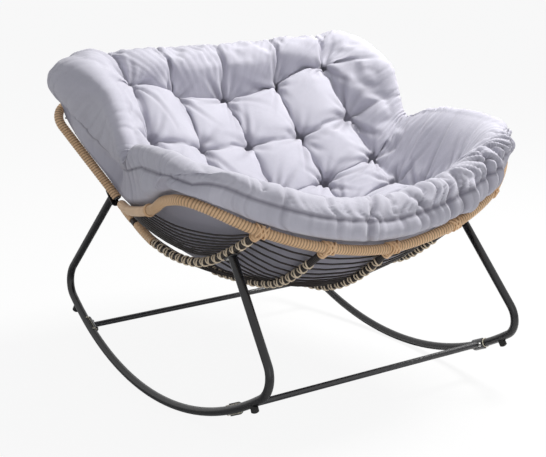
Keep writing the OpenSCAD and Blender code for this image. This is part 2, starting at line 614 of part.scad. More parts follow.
// Crest of the side rolls, measured from the edge at the same row: outward, forward and up
side_crest = [[-37, 74, 54], [-29, 54, 94], [-2, 77, 148], [36, 120, 180],
              [85, 189, 178], [97, 238, 208], [65, 265, 204], [66, 112, 172]];
function end_out(j) = j == 0 ? [0, -1, 0] : j == last_j ? back_dir : [0, 0, 0];
function end_seam_knot(i, j) =
    let (v = side_seam[j][0], out = unit(end_out(j) + (i == 3 ? [0.5, 0, 0] : [0, 0, 0])))
    guide([0, 1, 2, 2.62][i], v) + (boxing_h - [0, 0, 4, 14][i]) * boxing_dir(v)
    + (overhang + [0, 0, 2, 4][i]) * out;
function side_seam_knot(j) =
    let (s = side_seam[j])
    edge_at(s[0]) + s[1] * boxing_dir(s[0]) + [s[2], 0, 0] + (j == 0 ? 8 : 16) * end_out(j);
function tuft_knot(i, j) =
    let (row = tuft_rows[j - 1], spread = j == 1 || j == last_j - 1 ? 1.1 : 1)
    guide(spread * tuft_a[i], row[0][i]) + row[1][i] * off_dir(row[2]);
function crest_knot(j) = let (c = side_crest[j - 1]) edge_at(side_seam[j][0]) + [c[0], -c[1], c[2]];
function knot(i, j) =
    i == last_i ? side_seam_knot(j) : j == 0 || j == last_j ? end_seam_knot(i, j)
                : i == 3 ? crest_knot(j) : tuft_knot(i, j);
net_columns = [for (i = [0:last_i]) [for (j = [0:last_j]) knot(i, j)]];
function net_at(i, j) = across([for (column = net_columns) spline(column, j)], i);
function net_normal(i, j) =
    let (e = 0.05, di = net_at(min(i + e, last_i), j) - net_at(max(i - e, -last_i), j),
         dj = net_at(i, min(j + e, last_j)) - net_at(i, max(j - e, 0)))
    unit(cross(di, dj));
// Pillows swell between the knots; rolls swell on both flanks of their crests, notched by the channels
function bump(f) = abs(sin(180 * f));
function rise_at(i, j) =
    let (n = abs(i), bi = bump(i), bj = bump(j), side = n > 2, inside = j >= 1 && j <= last_j - 1,
         end = j < 2 || j > last_j - 2, outer = j > 5.5 ? back_swell : outer_swell,
         fs = n < 3 ? flank_swell : outer, fe = inside ? 0.8 * flank_swell : outer,
         from_end = j < 5 ? j : last_j - j,
         notch_side = (1 - sqrt(bj)) * clamp(last_i - n, 0, 1) * clamp(n - 2.3, 0, 1),
         notch_end = (1 - sqrt(bi)) * clamp(from_end, 0, 1) * clamp(1.7 - from_end, 0, 1))
    side && end ? (j > 5 ? 1 : 0.6) * max(fs * bi, fe * bj)
    : side ? fs * pow(bi, 0.8) * (n < 3 ? 0.45 + 0.55 * sqrt(bj) : 1) - 1.4 * notch * notch_side
    : end ? fe * pow(bj, 0.8) * (inside ? 0.3 + 0.7 * sqrt(bi) : 1) - 1.4 * notch * notch_end
    : pillow_rise * sqrt(bi * bj);
function cushion_top(i, j, depth) = net_at(i, j) + (rise_at(i, j) - depth) * net_normal(i, j);
// The underside rests on the ribs, rises towards the rails and stands clear of the winding at the edge
under_a = [[0, 0], [1, 0.9], [2, 1.8], [3, 2.5], [4, 3]];
under_v = [[0, 0], [1, 0.5], [2, 1], [3, 2], [4, 3], [5, 4.9], [6, 6.3], [7, 7.3], [8, 7.7], [9, 8]];
under_edge_v = [for (j = [0:last_j]) [j, side_seam[j][0]]];
rib_gap_h = rib_r + 3 * fit;
edge_gap_h = wrap_r + 13;
// Where rim, rail and hoop come together it bridges them in a straight line instead of following the guide
function bridged(v) = clamp(min(v - 3.4, 7.6 - v) / 0.8, 0, 1);
function under_edge(a, v) = guide(a, v) + 1.6 * wrap_r * boxing_dir(v);
function under_lifted(a, v, depth) =
    let (near = clamp(max(max(abs(a) - 1, 1 - v), v - row_count + 1), 0, 1))
    lifted(a, v, mix(rib_gap_h, edge_gap_h, near) + depth);
function cushion_bottom(i, j, depth) =
    let (n = abs(i), f = clamp((n - 2) / 2, 0, 1), v_in = lookup(j, under_v), v_out = lookup(j, under_edge_v),
         a = sign(i) * lookup(n, under_a), v = mix(v_in, v_out, f))
    n == last_i || j == 0 || j == last_j ? under_edge(a, v)
    : n <= 2 || bridged(v) == 0 ? under_lifted(a, v, depth)
    : mix(under_lifted(a, v, depth),
          mix(under_lifted(sign(i) * 1.8, v_in, depth), under_edge(sign(i) * 3, v_out), f), bridged(v));

// Two sheets of points over one grid, joined round their rims
function sheet_faces(cols, rows) =
    [for (j = [0:rows - 1], i = [0:cols - 1])
        let (a = j * (cols + 1) + i, b = a + cols + 1) each [[a, b, b + 1], [a, b + 1, a + 1]]];
function rim_ids(cols, rows) =
    let (w = cols + 1)
    concat([for (i = [0:cols - 1]) i], [for (j = [0:rows - 1]) j * w + cols],
           [for (i = [cols:-1:1]) rows * w + i], [for (j = [rows:-1:1]) j * w]);
module between_sheets(top, bottom, cols, rows) {
    m = len(top);
    ids = rim_ids(cols, rows);
    n = len(ids);
    under = [for (f = sheet_faces(cols, rows)) [f[0] + m, f[2] + m, f[1] + m]];
    band = [for (k = [0:n - 1])
        let (a = ids[k], b = ids[(k + 1) % n]) each [[a, b, m + b], [a, m + b, m + a]]];
    polyhedron(concat(top, bottom), concat(sheet_faces(cols, rows), under, band), convexity = 10);
}
// The hollow lies under the back's tufts, away from the seams
hollow_cols = [-2.35, each [-2:0.5:2], 2.35];
module cushion_hollow() {
    at = [for (j = [0:7], i = hollow_cols) [i, 5 + j / 2]];
    between_sheets([for (p = at) cushion_top(p[0], p[1], back_wall)],
                   [for (p = at) cushion_bottom(p[0], p[1], back_wall)], 10, 7);
}
// Grid lines of the cover: three to a pillow, two across the rolls of the sides and the top
cols_at = [each [-4:0.5:-2.5], for (k = [-6:6]) k / 3, each [2.5:0.5:4]];
rows_at = [for (k = [0:24]) k / 3, 8.5, 9];
module cushion_cover() {
    cols = len(cols_at) - 1;
    rows = len(rows_at) - 1;
    w = cols + 1;
    top = [for (j = rows_at, i = cols_at) cushion_top(i, j, 0)];
    bottom = [for (j = rows_at, i = cols_at) cushion_bottom(i, j, 0)];
    m = len(top);
    ids = rim_ids(cols, rows);
    n = len(ids);
    half = [for (id = ids) (top[id] + bottom[id]) / 2];
    middle = [for (k = [0:n - 1])
        half[k] + band_bulge * unit(cross(half[(k + 1) % n] - half[(k + n - 1) % n], top[ids[k]] - bottom[ids[k]]))];
    // The underside has half as many rows as the top, so its side columns are stitched with three faces
    under = [for (j = [0:2:rows - 2], i = [0:cols - 1])
        let (a = m + j * w + i, b = a + 1, c = b + 2 * w, d = a + 2 * w)
        each (i == 0 ? [[a, b, a + w], [a + w, b, c], [a + w, c, d]]
              : i == cols - 1 ? [[a, b, b + w], [a, b + w, d], [d, b + w, c]]
              : [[a, b, c], [a, c, d]])];
    band = [for (k = [0:n - 1])
        let (next = (k + 1) % n, a = ids[k], b = ids[next], c = 2 * m + k, d = 2 * m + next)
        each [[a, b, d], [a, d, c], [c, d, m + b], [c, m + b, m + a]]];
    polyhedron(concat(top, bottom, middle), concat(sheet_faces(cols, rows), under, band), convexity = 10);
}
module cushion() { color(CLOTH) difference() { cushion_cover(); cushion_hollow(); } }

rocker_left();
rocker_right();
crossbar_front();
crossbar_rear();
liners_front();
liners_rear();
crossbar_bolts_front();
crossbar_bolts_rear();
stoppers_front();
stoppers_rear();
leg_bolts_front();
leg_bolts_rear();
rim_tube();
rim_winding();
arm_wrap_left();
arm_wrap_right();
side_rail_left();
side_rail_right();
rail_sleeves_left();
rail_sleeves_right();
rail_coupling_left();
rail_coupling_right();
hoop_tube();
hoop_winding();
lower_crossrail();
seat_rib_left();
seat_rib_centre();
seat_rib_right();
back_rib_left();
back_rib_centre();
back_rib_right();
strands_side_left();
strands_side_right();
strands_seat_1();
strands_seat_2();
strands_seat_3();
strands_seat_4();
strands_back_1();
strands_back_2();
strands_back_3();
strands_back_4();
cushion();
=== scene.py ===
# %% [markdown]
# # A padded rocking chair in Blender
#
# The chair has two bent steel rockers, a rattan basket hung between them, and one big tufted cushion.
# Its sizes come from a CAD model, which this script loads as a fixed frame. Everything that a camera
# sees close up is made here: the wound rattan, its ties, the cushion and the finishes. Lengths are in
# millimetres, as in the CAD model, and turn into metres when a mesh is placed.

import json
import math

import bmesh
import bpy
import numpy as np
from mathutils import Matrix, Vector


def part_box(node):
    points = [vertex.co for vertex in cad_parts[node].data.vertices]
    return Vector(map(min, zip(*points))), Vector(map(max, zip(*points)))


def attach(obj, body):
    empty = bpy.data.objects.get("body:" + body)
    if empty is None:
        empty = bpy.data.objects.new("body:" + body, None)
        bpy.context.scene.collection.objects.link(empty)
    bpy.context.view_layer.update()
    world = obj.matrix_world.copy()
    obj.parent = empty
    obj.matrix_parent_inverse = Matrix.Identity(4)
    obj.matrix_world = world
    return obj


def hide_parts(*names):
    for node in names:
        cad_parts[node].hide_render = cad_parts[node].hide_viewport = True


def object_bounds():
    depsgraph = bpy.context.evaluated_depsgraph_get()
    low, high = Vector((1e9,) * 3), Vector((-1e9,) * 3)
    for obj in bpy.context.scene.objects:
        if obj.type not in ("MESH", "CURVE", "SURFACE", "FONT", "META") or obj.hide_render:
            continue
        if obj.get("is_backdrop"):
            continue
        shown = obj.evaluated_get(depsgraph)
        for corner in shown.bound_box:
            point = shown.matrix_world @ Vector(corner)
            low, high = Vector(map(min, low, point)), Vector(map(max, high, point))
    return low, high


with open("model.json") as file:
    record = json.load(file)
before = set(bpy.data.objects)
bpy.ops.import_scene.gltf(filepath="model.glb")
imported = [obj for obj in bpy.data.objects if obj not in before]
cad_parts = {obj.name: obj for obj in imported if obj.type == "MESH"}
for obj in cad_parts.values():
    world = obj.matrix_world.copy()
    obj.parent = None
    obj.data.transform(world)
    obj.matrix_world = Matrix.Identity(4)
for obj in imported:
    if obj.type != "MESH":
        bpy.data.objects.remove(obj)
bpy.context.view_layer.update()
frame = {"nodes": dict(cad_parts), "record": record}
nodes = frame["nodes"]

# %% [markdown]
# ## Camera
#
# The camera stands left of the chair's front and a little above it.
# It is placed by two angles and a distance from a target, as a photographer would note them down.
# A long lens from almost four metres keeps the perspective gentle.

# %% Place the camera
bpy.context.scene.view_settings.view_transform = "Standard"
camera_turn = math.radians(-34.89)
camera_rise = math.radians(14.75)
camera_distance = 3.787
target = Vector((0.0561, 0.121, 0.3744))
away = Vector((
    math.sin(camera_turn) * math.cos(camera_rise),
    -math.cos(camera_turn) * math.cos(camera_rise),
    math.sin(camera_rise),
))
camera_data = bpy.data.cameras.new("camera")
camera_data.lens = 86.15
camera_data.sensor_width = 36
camera = bpy.data.objects.new("camera", camera_data)
camera.location = target + camera_distance * away
camera.rotation_mode = "QUATERNION"
camera.rotation_quaternion = (-away).to_track_quat("-Z", "Y")
bpy.context.scene.collection.objects.link(camera)
bpy.context.scene.camera = camera
print("camera at", [round(x, 3) for x in camera.location])

# %% [markdown]
# ## Light
#
# Studio furniture is lit by big soft boxes, so that cloth shows its folds without hard shadows. An area
# lamp is such a box: the larger it is, the softer its shadow. The key lamp hangs high above the chair's
# right side, so that the tops of the rolls are bright and their fronts are in shade. A weak lamp near
# the camera opens the shade, and an even world fills the rest.


# %% Hang the lamps
def soft_box(name, place, aim, size, power, colour):
    """An area lamp of that size in metres, turned towards aim."""
    data = bpy.data.lights.new(name, "AREA")
    data.size = size
    data.energy = power
    data.color = colour
    lamp = bpy.data.objects.new(name, data)
    lamp.location = place
    lamp.rotation_mode = "QUATERNION"
    lamp.rotation_quaternion = (Vector(aim) - Vector(place)).to_track_quat("-Z", "Y")
    bpy.context.scene.collection.objects.link(lamp)


soft_box("key_lamp", (1.5, -0.2, 2.9), (0, 0, 0.5), 1.0, 105, (1, 0.99, 0.97))
soft_box("front_lamp", (-1.2, -3.4, 1.7), (0, 0, 0.4), 1.8, 9, (0.97, 0.98, 1))

# %% [markdown]
# ## Sky and floor
#
# The chair stands on a plain white floor without a visible end. A white sky that lights the chair as
# brightly as it looks would wash out every fold. So a Light Path node tells the rays apart: the camera,
# mirrors and glass see white, and everything else gets a dimmer fill. The floor glows for the camera in
# the same way, but keeps part of its shading, so that the chair's shadow stays.

# %% Build the world
world = bpy.data.worlds.new("studio")
bpy.context.scene.world = world
world.use_nodes = True
wn = world.node_tree.nodes
wl = world.node_tree.links
wn.clear()
world_out = wn.new("ShaderNodeOutputWorld")
fill_light = wn.new("ShaderNodeBackground")
fill_light.inputs["Color"].default_value = (0.96, 0.97, 1, 1)
fill_light.inputs["Strength"].default_value = 0.46
seen_white = wn.new("ShaderNodeBackground")
seen_white.inputs["Color"].default_value = (0.985, 0.985, 0.99, 1)
seen_white.inputs["Strength"].default_value = 1.0
rays = wn.new("ShaderNodeLightPath")
either = wn.new("ShaderNodeMath")
either.operation = "MAXIMUM"
wl.new(rays.outputs["Is Camera Ray"], either.inputs[0])
wl.new(rays.outputs["Is Glossy Ray"], either.inputs[1])
seen = wn.new("ShaderNodeMath")
seen.operation = "MAXIMUM"
wl.new(either.outputs[0], seen.inputs[0])
wl.new(rays.outputs["Is Transmission Ray"], seen.inputs[1])
world_mix = wn.new("ShaderNodeMixShader")
wl.new(seen.outputs[0], world_mix.inputs["Fac"])
wl.new(fill_light.outputs[0], world_mix.inputs[1])
wl.new(seen_white.outputs[0], world_mix.inputs[2])
wl.new(world_mix.outputs[0], world_out.inputs["Surface"])
print("world nodes:", len(wn))

# %% Lay the floor
floor_mesh = bpy.data.meshes.new("floor")
bm = bmesh.new()
bmesh.ops.create_grid(bm, x_segments=2, y_segments=2, size=60)
bm.to_mesh(floor_mesh)
bm.free()
floor = bpy.data.objects.new("floor", floor_mesh)
floor.location.z = -0.0005
bpy.context.scene.collection.objects.link(floor)
floor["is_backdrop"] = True
floor_material = bpy.data.materials.new("white_floor")
floor_material.use_nodes = True
fn = floor_material.node_tree.nodes
fl = floor_material.node_tree.links
fn.clear()
floor_out = fn.new("ShaderNodeOutputMaterial")
paper = fn.new("ShaderNodeBsdfDiffuse")
paper.inputs["Color"].default_value = (0.82, 0.82, 0.82, 1)
glow = fn.new("ShaderNodeEmission")
glow.inputs["Color"].default_value = (1, 1, 1, 1)
glow.inputs["Strength"].default_value = 1.0
floor_rays = fn.new("ShaderNodeLightPath")
share = fn.new("ShaderNodeMath")
share.operation = "MULTIPLY"
share.inputs[1].default_value = 0.9
fl.new(floor_rays.outputs["Is Camera Ray"], share.inputs[0])
floor_mix = fn.new("ShaderNodeMixShader")
fl.new(share.outputs[0], floor_mix.inputs["Fac"])
fl.new(paper.outputs[0], floor_mix.inputs[1])
fl.new(glow.outputs[0], floor_mix.inputs[2])
fl.new(floor_mix.outputs[0], floor_out.inputs["Surface"])
floor_mesh.materials.append(floor_material)
print("floor size:", [round(x, 1) for x in floor.dimensions])

# %% [markdown]
# ## The basket's guide surface
#
# The whole basket follows one smooth surface, like the lath that a weaver bends before winding. It is
# given by a few knots: nine rows from the front rim to the top bar, and four columns from the middle to
# the edge. A Catmull-Rom spline runs through them: between two knots it looks at one more on each side
# for its slope. The same numbers shape the CAD frame, so what is wound on this surface sits on the
# frame's tubes.


# %% Curve through knots
def through(before, knots, after, t):
    """Points at the places t on a smooth curve through the knots. before and after give its end slopes."""
    t = np.atleast_1d(np.asarray(t, float))
    i = np.clip(np.floor(t).astype(int), 0, len(knots) - 2)
    f = (t - i)[:, None]
    p = np.concatenate([np.asarray(before)[None], knots, np.asarray(after)[None]])
    a, b, c, d = p[i], p[i + 1], p[i + 2], p[i + 3]
    return 0.5 * (2 * b + (c - a) * f + (2 * a - 5 * b + 4 * c - d) * f**2 + (3 * b - a - 3 * c + d) * f**3)


def smooth(knots, t):
    """The same curve, running straight out at its ends."""
    knots = np.asarray(knots, float)
    return through(2 * knots[0] - knots[1], knots, 2 * knots[-1] - knots[-2], t)


print("halfway:", smooth([[0, 0, 0], [1, 1, 0], [2, 0, 0]], 0.5).round(3))

# %% Knots of the guide
back_lean = 45
up_back = np.array([0, math.sin(math.radians(back_lean)), math.cos(math.radians(back_lean))])
splay_angle = 15.5
splay = math.tan(math.radians(splay_angle))
hoop_rise = 340
rib_r = 9.5
wrap_r = 14
rib_x = 202
front_seat = (371.4, -313.4, 474.0)
rail_x = front_seat[0]
junction_x = 362
junction = np.array([junction_x, 273.0, 487.8])
hoop_bar_half = 377.4
hoop_bend_r = 60
hoop_top_x = hoop_bar_half + hoop_bend_r


def on_back(x, q):
    """A point in the plane of the back, q above the junction along the slope."""
    return [x, junction[1] + q * up_back[1], junction[2] + q * up_back[2]]


guide_rows = np.array([
    [(0, -482, 464), (rib_x, -484, 495), (rail_x, -444, 552.35), (496, -352, 619)],
    [(0, -349, 359), (rib_x, -310, 374), front_seat, (512, -250, 609)],
    [(0, -217, 296), (rib_x, -190, 334), (rail_x, -180, 416), (493, -150, 565)],
    [(0, -76, 276), (rib_x, -60, 320), (rail_x, -60, 400), (457, -10, 525)],
    [(0, 20, 266), (rib_x, 40, 316), (rail_x, 60, 412), (419, 120, 499)],
    [on_back(0, -262), on_back(rib_x, -200), (366.7, 168, 442.8), on_back(junction_x + 4, 2)],
    [on_back(0, -70), on_back(rib_x, -40), on_back(junction_x, 0),
     on_back(junction_x + 70 * splay, 70)],
    [on_back(0, 130), on_back(rib_x, 140), on_back(junction_x + 8, 165),
     on_back(junction_x + 205 * splay, 205)],
    [on_back(0, hoop_rise), on_back(rib_x, hoop_rise), on_back(junction_x - 8, hoop_rise - 10),
     on_back(hoop_top_x - 14, hoop_rise - 32)],
], float)
last_row = len(guide_rows) - 1
other_side = np.array([-1.0, 1.0, 1.0])
print("guide knots:", guide_rows.shape)


# %% Points on the guide
def edge_at(v):
    """The edge of the basket at row v."""
    return through(guide_rows[0, 2], guide_rows[:, 3], guide_rows[last_row, 2], v)


def across_knots(columns, after, t):
    """Each point's own curve through its own knots, the right half of them given in columns and mirrored."""
    p = np.array([c * other_side for c in columns[:0:-1]] + list(columns))
    ahead = after * other_side
    p = np.concatenate([ahead[None], p, after[None]])
    i = np.clip(np.floor(t).astype(int), 0, len(p) - 4)
    f = (t - i)[:, None]
    k = np.arange(len(t))
    a, b, c, d = p[i, k], p[i + 1, k], p[i + 2, k], p[i + 3, k]
    return 0.5 * (2 * b + (c - a) * f + (2 * a - 5 * b + 4 * c - d) * f**2 + (3 * b - a - 3 * c + d) * f**3)


def guide(a, v):
    """Points on the guide: a runs across from -3 to 3, v from 0 at the front rim to 8 at the top bar."""
    a, v = np.broadcast_arrays(np.atleast_1d(np.asarray(a, float)), np.asarray(v, float))
    columns = [smooth(guide_rows[:, c], v) for c in range(3)] + [edge_at(v)]
    after = 2 * columns[3] - columns[2]
    first = np.clip(1 - v, 0, 1)[:, None]
    after = after + first * (edge_at(v + 1) - after)
    last = np.clip(v - last_row + 1, 0, 1)[:, None]
    after = after + last * (edge_at(np.maximum(v - 1, 0)) - after)
    return across_knots(columns, after, a + 3)


def unit(v):
    """Vectors of length one."""
    return v / np.maximum(np.linalg.norm(v, axis=-1, keepdims=True), 1e-9)


def guide_normal(a, v):
    """Directions square to the guide, towards the sitter."""
    a, v = np.broadcast_arrays(np.atleast_1d(np.asarray(a, float)), np.asarray(v, float))
    e = 0.02
    side = guide(np.minimum(a + e, 3), v) - guide(np.maximum(a - e, -3), v)
    along = guide(a, np.minimum(v + e, last_row)) - guide(a, np.maximum(v - e, 0))
    return unit(np.cross(side, along))


print("lowest point of the guide:", guide(0, 4).round(1))

# %% [markdown]
# ## One sheet, many shapes
#
# Almost everything soft or wound here starts as a flat grid of faces. Bent round a line and welded
# along its edges, such a grid is a tube; bent round a ring, it is a loop of cane. The grid operator
# makes all the faces, and only the places of its points are worked out. Points are moved after the
# pattern coordinates are stored, so that a pattern follows the shape.


# %% Bend a sheet
def add_sheet(bm, columns, rows, place, size=(1, 1)):
    """Adds a grid to bm and moves each point to place(u, v), where u and v run from 0 to 1."""
    made = bmesh.ops.create_grid(bm, x_segments=columns, y_segments=rows, size=0.5)["verts"]
    flat = np.array([v.co for v in made]) + 0.5
    uv = bm.loops.layers.uv.verify()
    for face in {f for v in made for f in v.link_faces}:
        for loop in face.loops:
            loop[uv].uv = ((loop.vert.co.x + 0.5) * size[0], (loop.vert.co.y + 0.5) * size[1])
    for vert, point in zip(made, place(flat[:, 0], flat[:, 1]) * 0.001):
        vert.co = point


def finish_piece(bm, name, material, body):
    """Welds, closes and smooths a mesh, and makes it an object that rides on a CAD body."""
    hair = 0.00001
    bmesh.ops.remove_doubles(bm, verts=bm.verts, dist=hair)
    open_edges = [e for e in bm.edges if e.is_boundary]
    if open_edges:
        bmesh.ops.holes_fill(bm, edges=open_edges, sides=0)
    bmesh.ops.recalc_face_normals(bm, faces=bm.faces)
    for face in bm.faces:
        face.smooth = len(face.verts) < 8
    mesh = bpy.data.meshes.new(name)
    bm.to_mesh(mesh)
    bm.free()
    piece = bpy.data.objects.new(name, mesh)
    bpy.context.scene.collection.objects.link(piece)
    mesh.materials.append(material)
    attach(piece, body)
    print(name, len(mesh.polygons), "faces")
    return piece


trial = bmesh.new()
add_sheet(trial, 4, 2, lambda u, v: np.stack([u, v, 0 * u], -1))
print("a trial sheet:", len(trial.faces), "faces")
trial.free()


# %% Tube along a line
def dense(run, step=1.0):
    """The run again, with its points that far apart."""
    run = np.asarray(run, float)
    gone = np.concatenate([[0], np.cumsum(np.linalg.norm(np.diff(run, axis=0), axis=1))])
    at = np.linspace(0, gone[-1], max(int(gone[-1] / step), 2) + 1)
    return np.stack([np.interp(at, gone, run[:, k]) for k in range(3)], -1), at


def add_tube(bm, run, radius, sides, ring_gap, lean=0.0, thickness=None):
    """Adds a round skin along a run. Over one turn each ring slides along by lean, as a winding does, and
    thickness(s, turn) adds to the radius."""
    line, at = dense(run)
    ahead = unit(np.gradient(line, axis=0))
    side = unit(np.cross(ahead, [0, 0, 1.0]))
    up = np.cross(side, ahead)
    length = at[-1] - lean
    rings = max(int(round(length / ring_gap)), 1)

    def place(u, v):
        s = v * length
        here = s + lean * u
        middle, aside, above = [
            np.stack([np.interp(here, at, w[:, k]) for k in range(3)], -1) for w in (line, side, up)]
        turn = 2 * math.pi * u
        r = radius + (thickness(s, u) if thickness else 0)
        r = np.broadcast_to(r, s.shape)[:, None]
        return middle + r * (np.cos(turn)[:, None] * unit(aside) + np.sin(turn)[:, None] * unit(above))

    add_sheet(bm, sides, rings, place, (2 * math.pi * radius, length))


def add_loop(bm, middle, one, two, thick, across=6, around=20):
    """Adds a closed loop of cane round the ellipse of the half axes one and two."""
    flat = unit(np.cross(one, two))

    def place(u, v):
        t = 2 * math.pi * v
        spoke = np.cos(t)[:, None] * one + np.sin(t)[:, None] * two
        turn = 2 * math.pi * u
        wide = (thick * np.sin(turn))[:, None] * flat
        return middle + spoke + (thick * np.cos(turn))[:, None] * unit(spoke) + wide

    add_sheet(bm, across, around, place, (2 * math.pi * thick, 2 * math.pi * np.linalg.norm(one)))


print("a run of 100 mm gets", len(dense([(0, 0, 0), (100, 0, 0)])[1]), "points")

# %% [markdown]
# ## Finishes
#
# A finish is more than a colour. Powder coat has a fine orange peel, cane has fibres along its length
# and shade between its turns, and cloth has threads. An effect that several finishes share is a node
# group with named sockets, built once. It puts out only colours, heights and roughness. The shader
# itself stays in each material, with its plain numbers.


# %% Group helpers
def new_group(name, inputs, outputs):
    """A shader group with its sockets, and its input and output nodes."""
    tree = bpy.data.node_groups.new(name, "ShaderNodeTree")
    for label, kind, value in inputs:
        socket = tree.interface.new_socket(label, in_out="INPUT", socket_type=kind)
        if value is not None:
            socket.default_value = value
    for label, kind in outputs:
        tree.interface.new_socket(label, in_out="OUTPUT", socket_type=kind)
    return tree, tree.nodes.new("NodeGroupInput"), tree.nodes.new("NodeGroupOutput")


def maths(tree, operation, *values):
    """A Math node. Each of its values is a socket or a number."""
    node = tree.nodes.new("ShaderNodeMath")
    node.operation = operation
    for i, value in enumerate(values):
        if isinstance(value, (int, float)):
            node.inputs[i].default_value = value
        else:
            tree.links.new(value, node.inputs[i])
    return node.outputs[0]


def blend_colours(tree, factor, one, two, kind="MIX"):
    """A colour Mix node. Each of its inputs is a socket, a number or a colour."""
    node = tree.nodes.new("ShaderNodeMix")
    node.data_type = "RGBA"
    node.blend_type = kind
    for i, value in ((0, factor), (6, one), (7, two)):
        if isinstance(value, (int, float, tuple)):
            node.inputs[i].default_value = value
        else:
            tree.links.new(value, node.inputs[i])
    return node.outputs[2]


def noise_of(tree, vector, scale, detail=3.0, rough=0.5):
    """A noise texture's value over a vector."""
    node = tree.nodes.new("ShaderNodeTexNoise")
    node.inputs["Detail"].default_value = detail
    node.inputs["Roughness"].default_value = rough
    if isinstance(scale, (int, float)):
        node.inputs["Scale"].default_value = scale
    else:
        tree.links.new(scale, node.inputs["Scale"])
    tree.links.new(vector, node.inputs["Vector"])
    return node.outputs["Fac"]


def stretched(tree, vector, scale):
    """The vector scaled by axis, so that a noise over it becomes fibres."""
    node = tree.nodes.new("ShaderNodeMapping")
    node.inputs["Scale"].default_value = scale
    tree.links.new(vector, node.inputs["Vector"])
    return node.outputs["Vector"]


print("shader groups so far:", len(bpy.data.node_groups))

# %% Group: cane fibres
vector, number, colour = "NodeSocketVector", "NodeSocketFloat", "NodeSocketColor"
cane_fibres, gi, go = new_group(
    "cane_fibres",
    [("Along", vector, None), ("Place", vector, None), ("Light", colour, (0.6, 0.4, 0.2, 1)),
     ("Dark", colour, (0.3, 0.2, 0.1, 1)), ("Streak", number, 0.5), ("Turn", number, 9.0),
     ("Gap", number, 0.0)],
    [("Colour", colour), ("Height", number), ("Roughness", number)])
fine = noise_of(cane_fibres, stretched(cane_fibres, gi.outputs["Along"], (1.1, 0.12, 1)), 1.0, 4.0, 0.65)
broad = noise_of(cane_fibres, gi.outputs["Place"], 14.0, 2.0)
speck = noise_of(cane_fibres, gi.outputs["Place"], 420.0, 2.0)
tone = maths(cane_fibres, "ADD", maths(cane_fibres, "MULTIPLY", fine, gi.outputs["Streak"]),
             maths(cane_fibres, "MULTIPLY", broad, 0.55))
tone = maths(cane_fibres, "ADD", tone, maths(cane_fibres, "MULTIPLY", speck, 0.18))
ramp = cane_fibres.nodes.new("ShaderNodeMapRange")
ramp.inputs["From Min"].default_value = 0.28
ramp.inputs["From Max"].default_value = 0.92
cane_fibres.links.new(tone, ramp.inputs["Value"])
mixed = blend_colours(cane_fibres, ramp.outputs[0], gi.outputs["Dark"], gi.outputs["Light"])
cane_split = cane_fibres.nodes.new("ShaderNodeSeparateXYZ")
cane_fibres.links.new(gi.outputs["Along"], cane_split.inputs[0])
turns = maths(cane_fibres, "DIVIDE", cane_split.outputs[1], gi.outputs["Turn"])
wave = maths(cane_fibres, "SINE", maths(cane_fibres, "MULTIPLY", turns, math.pi))
crest = maths(cane_fibres, "POWER", maths(cane_fibres, "ABSOLUTE", wave), 0.45)
sunk = maths(cane_fibres, "MULTIPLY", maths(cane_fibres, "SUBTRACT", 1.0, crest), gi.outputs["Gap"])
shadowed = blend_colours(cane_fibres, sunk, mixed, (0.07, 0.04, 0.02, 1))
cane_fibres.links.new(shadowed, go.inputs["Colour"])
rough_fibres = maths(cane_fibres, "ADD", fine, maths(cane_fibres, "MULTIPLY", speck, 0.4))
cane_fibres.links.new(rough_fibres, go.inputs["Height"])
worn_fibres = maths(cane_fibres, "ADD", maths(cane_fibres, "MULTIPLY", fine, 0.25), 0.38)
cane_fibres.links.new(worn_fibres, go.inputs["Roughness"])
print("cane_fibres nodes:", len(cane_fibres.nodes))

# %% [markdown]
# Plain weave is two waves that cross at right angles: where one thread is up, the other one is down. An
# image of cloth would repeat and blur, so the waves are made with Math nodes. They read the piece's own
# UV map, laid out in millimetres of cloth, so that the threads bend with the cushion.

# %% Group: cloth threads
cloth_threads, gi, go = new_group(
    "cloth_threads",
    [("Cloth", vector, None), ("Place", vector, None), ("Base", colour, (0.6, 0.6, 0.65, 1)),
     ("Faded", colour, (0.7, 0.7, 0.75, 1)), ("Thread", number, 1.4)],
    [("Colour", colour), ("Height", number), ("Roughness", number)])
split = cloth_threads.nodes.new("ShaderNodeSeparateXYZ")
cloth_threads.links.new(gi.outputs["Cloth"], split.inputs[0])
turns = maths(cloth_threads, "DIVIDE", 2 * math.pi, gi.outputs["Thread"])
warp = maths(cloth_threads, "SINE", maths(cloth_threads, "MULTIPLY", split.outputs[0], turns))
weft = maths(cloth_threads, "SINE", maths(cloth_threads, "MULTIPLY", split.outputs[1], turns))
woven = maths(cloth_threads, "MULTIPLY", warp, weft)
slub = noise_of(cloth_threads, stretched(cloth_threads, gi.outputs["Cloth"], (0.9, 0.06, 1)), 1.0, 2.0)
slub_across = noise_of(cloth_threads, stretched(cloth_threads, gi.outputs["Cloth"], (0.06, 0.9, 1)), 1.0, 2.0)
cloud = noise_of(cloth_threads, gi.outputs["Place"], 9.0, 3.0)
slubs = maths(cloth_threads, "ADD", slub, slub_across)
fade = maths(cloth_threads, "ADD", maths(cloth_threads, "MULTIPLY", cloud, 0.9),
             maths(cloth_threads, "MULTIPLY", slubs, 0.35))
fade_range = cloth_threads.nodes.new("ShaderNodeMapRange")
fade_range.inputs["From Min"].default_value = 0.45
fade_range.inputs["From Max"].default_value = 1.1
cloth_threads.links.new(fade, fade_range.inputs["Value"])
shade = maths(cloth_threads, "MULTIPLY_ADD", woven, 0.04, 0.96)
dyed = blend_colours(cloth_threads, fade_range.outputs[0], gi.outputs["Base"], gi.outputs["Faded"])
grey = cloth_threads.nodes.new("ShaderNodeCombineColor")
for i in range(3):
    cloth_threads.links.new(shade, grey.inputs[i])
threaded = blend_colours(cloth_threads, 1.0, dyed, grey.outputs[0], "MULTIPLY")
cloth_threads.links.new(threaded, go.inputs["Colour"])
